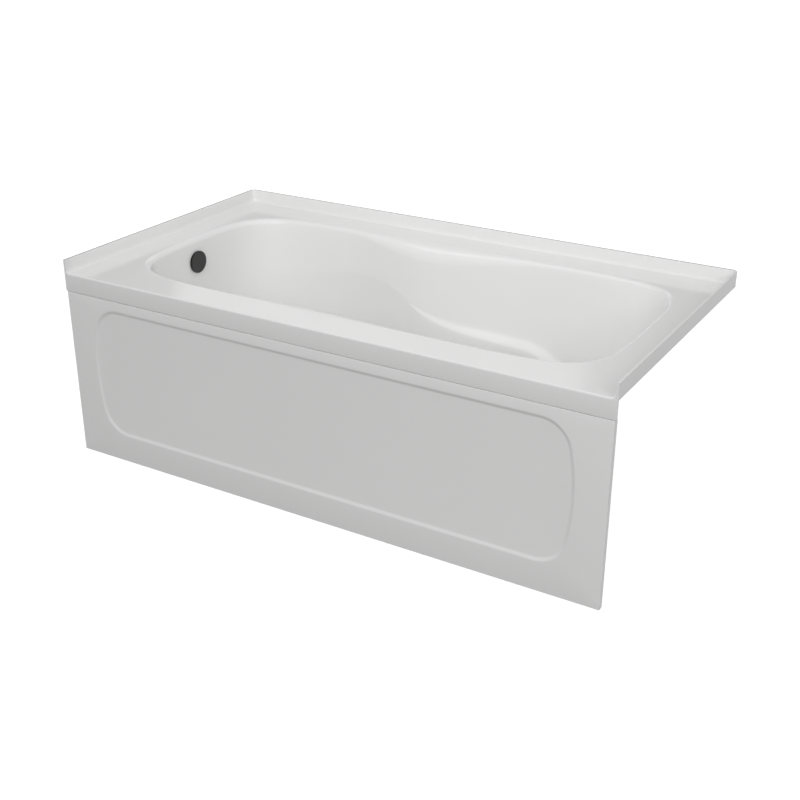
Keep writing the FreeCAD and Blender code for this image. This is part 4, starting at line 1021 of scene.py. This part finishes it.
class BATH_OT_stage(bpy.types.Operator):
    """Make the floor, the world, the lamps and the camera"""

    bl_idname = "bath.stage"
    bl_label = "Stage"

    def execute(self, context):
        scene = context.scene
        self.make_world(scene, scene.bath_light)
        self.make_floor(scene)
        self.make_lamps(scene, scene.bath_light)
        self.make_camera(scene, scene.bath_light)
        scene.view_settings.view_transform = "Standard"
        return {"FINISHED"}

    def make_world(self, scene, light):
        """Even white fill; the camera sees plain white, and so do mirrors, up to a dim ceiling."""
        scene.world = bpy.data.worlds.new("studio")
        sky = Nodes(scene.world)
        rays = sky.add("LightPath")
        level = sky.ranged(sky.seen_directly(rays), light.fill, 1.0, 0.0, 1.0)
        way = sky.add("SeparateXYZ", {"Vector": sky.add("TexCoord")["Generated"]})
        ceiling = sky.ranged(way["Z"], 1.0, light.ceiling, *CEILING_SPAN,
                             interpolation_type="SMOOTHSTEP")
        dimmed = sky.add("Mix", {"Factor": rays["Is Glossy Ray"], "A": 1.0, "B": ceiling})
        sky.join(sky.tree.nodes["Background"],
                 {"Color": (1.0, 1.0, 1.0, 1.0),
                  "Strength": sky.maths("MULTIPLY", level, dimmed["Result"])})

    def make_floor(self, scene):
        """Pale floor that looks white to the camera and keeps a faint shadow."""
        mesh = bpy.data.meshes.new("studio_floor")
        mesh.from_pydata([(x * FLOOR_REACH, y * FLOOR_REACH, 0)
                          for x, y in ((-1, -1), (1, -1), (1, 1), (-1, 1))], [], [(0, 1, 2, 3)])
        material = bpy.data.materials.new("pale_floor")
        paint = Nodes(material)
        paint.tree.nodes.clear()
        rays = paint.add("LightPath")
        grey = paint.add("Mix", {"Factor": rays["Is Camera Ray"], "A": (*[FLOOR_LIT] * 3, 1.0),
                                 "B": (*[FLOOR_SEEN] * 3, 1.0)}, data_type="RGBA")
        matt = paint.add("BsdfDiffuse", {"Color": grey["Result"]})
        level = paint.ranged(paint.seen_directly(rays), 0.0, FLOOR_GLOW, 0.0, 1.0)
        glow = paint.add("Emission", {"Strength": level})
        both = paint.add("AddShader", {0: matt["BSDF"], 1: glow["Emission"]})
        paint.add("OutputMaterial", {"Surface": both["Shader"]})
        mesh.materials.append(material)
        floor = bpy.data.objects.new("studio_floor", mesh)
        scene.collection.objects.link(floor)

    def make_lamps(self, scene, light):
        """Rectangular lamps, each turned to the point that it faces."""
        for name, (place, target, sides) in LAMPS.items():
            lamp = bpy.data.lights.new(name + "_lamp", "AREA")
            lamp.shape = "RECTANGLE"
            lamp.size, lamp.size_y = sides
            lamp.energy = getattr(light, name)
            holder = bpy.data.objects.new(name + "_lamp", lamp)
            holder.location = place
            aim = Vector(target) - Vector(place)
            holder.rotation_euler = aim.to_track_quat("-Z", "Y").to_euler()
            scene.collection.objects.link(holder)

    def make_camera(self, scene, light):
        """Camera at the photograph's place, aimed by its azimuth and elevation."""
        data = bpy.data.cameras.new("view")
        data.sensor_width, data.clip_end = SENSOR_WIDTH, VIEW_END
        data.lens, data.shift_x, data.shift_y = light.lens, light.shift_x, light.shift_y
        camera = bpy.data.objects.new("view", data)
        turn, tilt = light.azimuth, light.elevation
        aim = Vector((-math.sin(turn) * math.cos(tilt), math.cos(turn) * math.cos(tilt),
                      -math.sin(tilt)))
        side = Vector((math.cos(turn), math.sin(turn), 0.0))
        basis = Matrix((side, side.cross(aim), -aim)).transposed()
        camera.matrix_world = Matrix.Translation(Vector(light.camera)) @ basis.to_4x4()
        scene.collection.objects.link(camera)
        scene.camera = camera


class BATH_PT_panel(bpy.types.Panel):
    """Lists the bathtub's pieces"""

    bl_idname = "BATH_PT_panel"
    bl_label = "Alcove bathtub"
    bl_space_type = "VIEW_3D"
    bl_region_type = "UI"
    bl_category = "Bathtub"

    def draw(self, context):
        for operator in OPERATORS:
            self.layout.operator(operator.bl_idname)


OPERATORS = (BATH_OT_shell, BATH_OT_skirt, BATH_OT_backing, BATH_OT_knob, BATH_OT_drain,
             BATH_OT_waste, BATH_OT_timber, BATH_OT_stage)
GROUPS = {"bath_well": BathWell, "bath_body": BathBody, "bath_fittings": BathFittings,
          "bath_finish": BathFinish, "bath_light": BathLight}


def register():
    for name, group in GROUPS.items():
        bpy.utils.register_class(group)
        setattr(bpy.types.Scene, name, bpy.props.PointerProperty(type=group))
    for cls in (*OPERATORS, BATH_PT_panel):
        bpy.utils.register_class(cls)


def unregister():
    for cls in (BATH_PT_panel, *reversed(OPERATORS)):
        bpy.utils.unregister_class(cls)
    for name, group in reversed(GROUPS.items()):
        delattr(bpy.types.Scene, name)
        bpy.utils.unregister_class(group)


def main():
    """Make every piece and the stage."""
    register()
    bpy.ops.bath.shell()
    bpy.ops.bath.skirt()
    bpy.ops.bath.backing()
    bpy.ops.bath.knob()
    bpy.ops.bath.drain()
    bpy.ops.bath.waste()
    bpy.ops.bath.timber()
    bpy.ops.bath.stage()


if __name__ == "__main__":
    main()
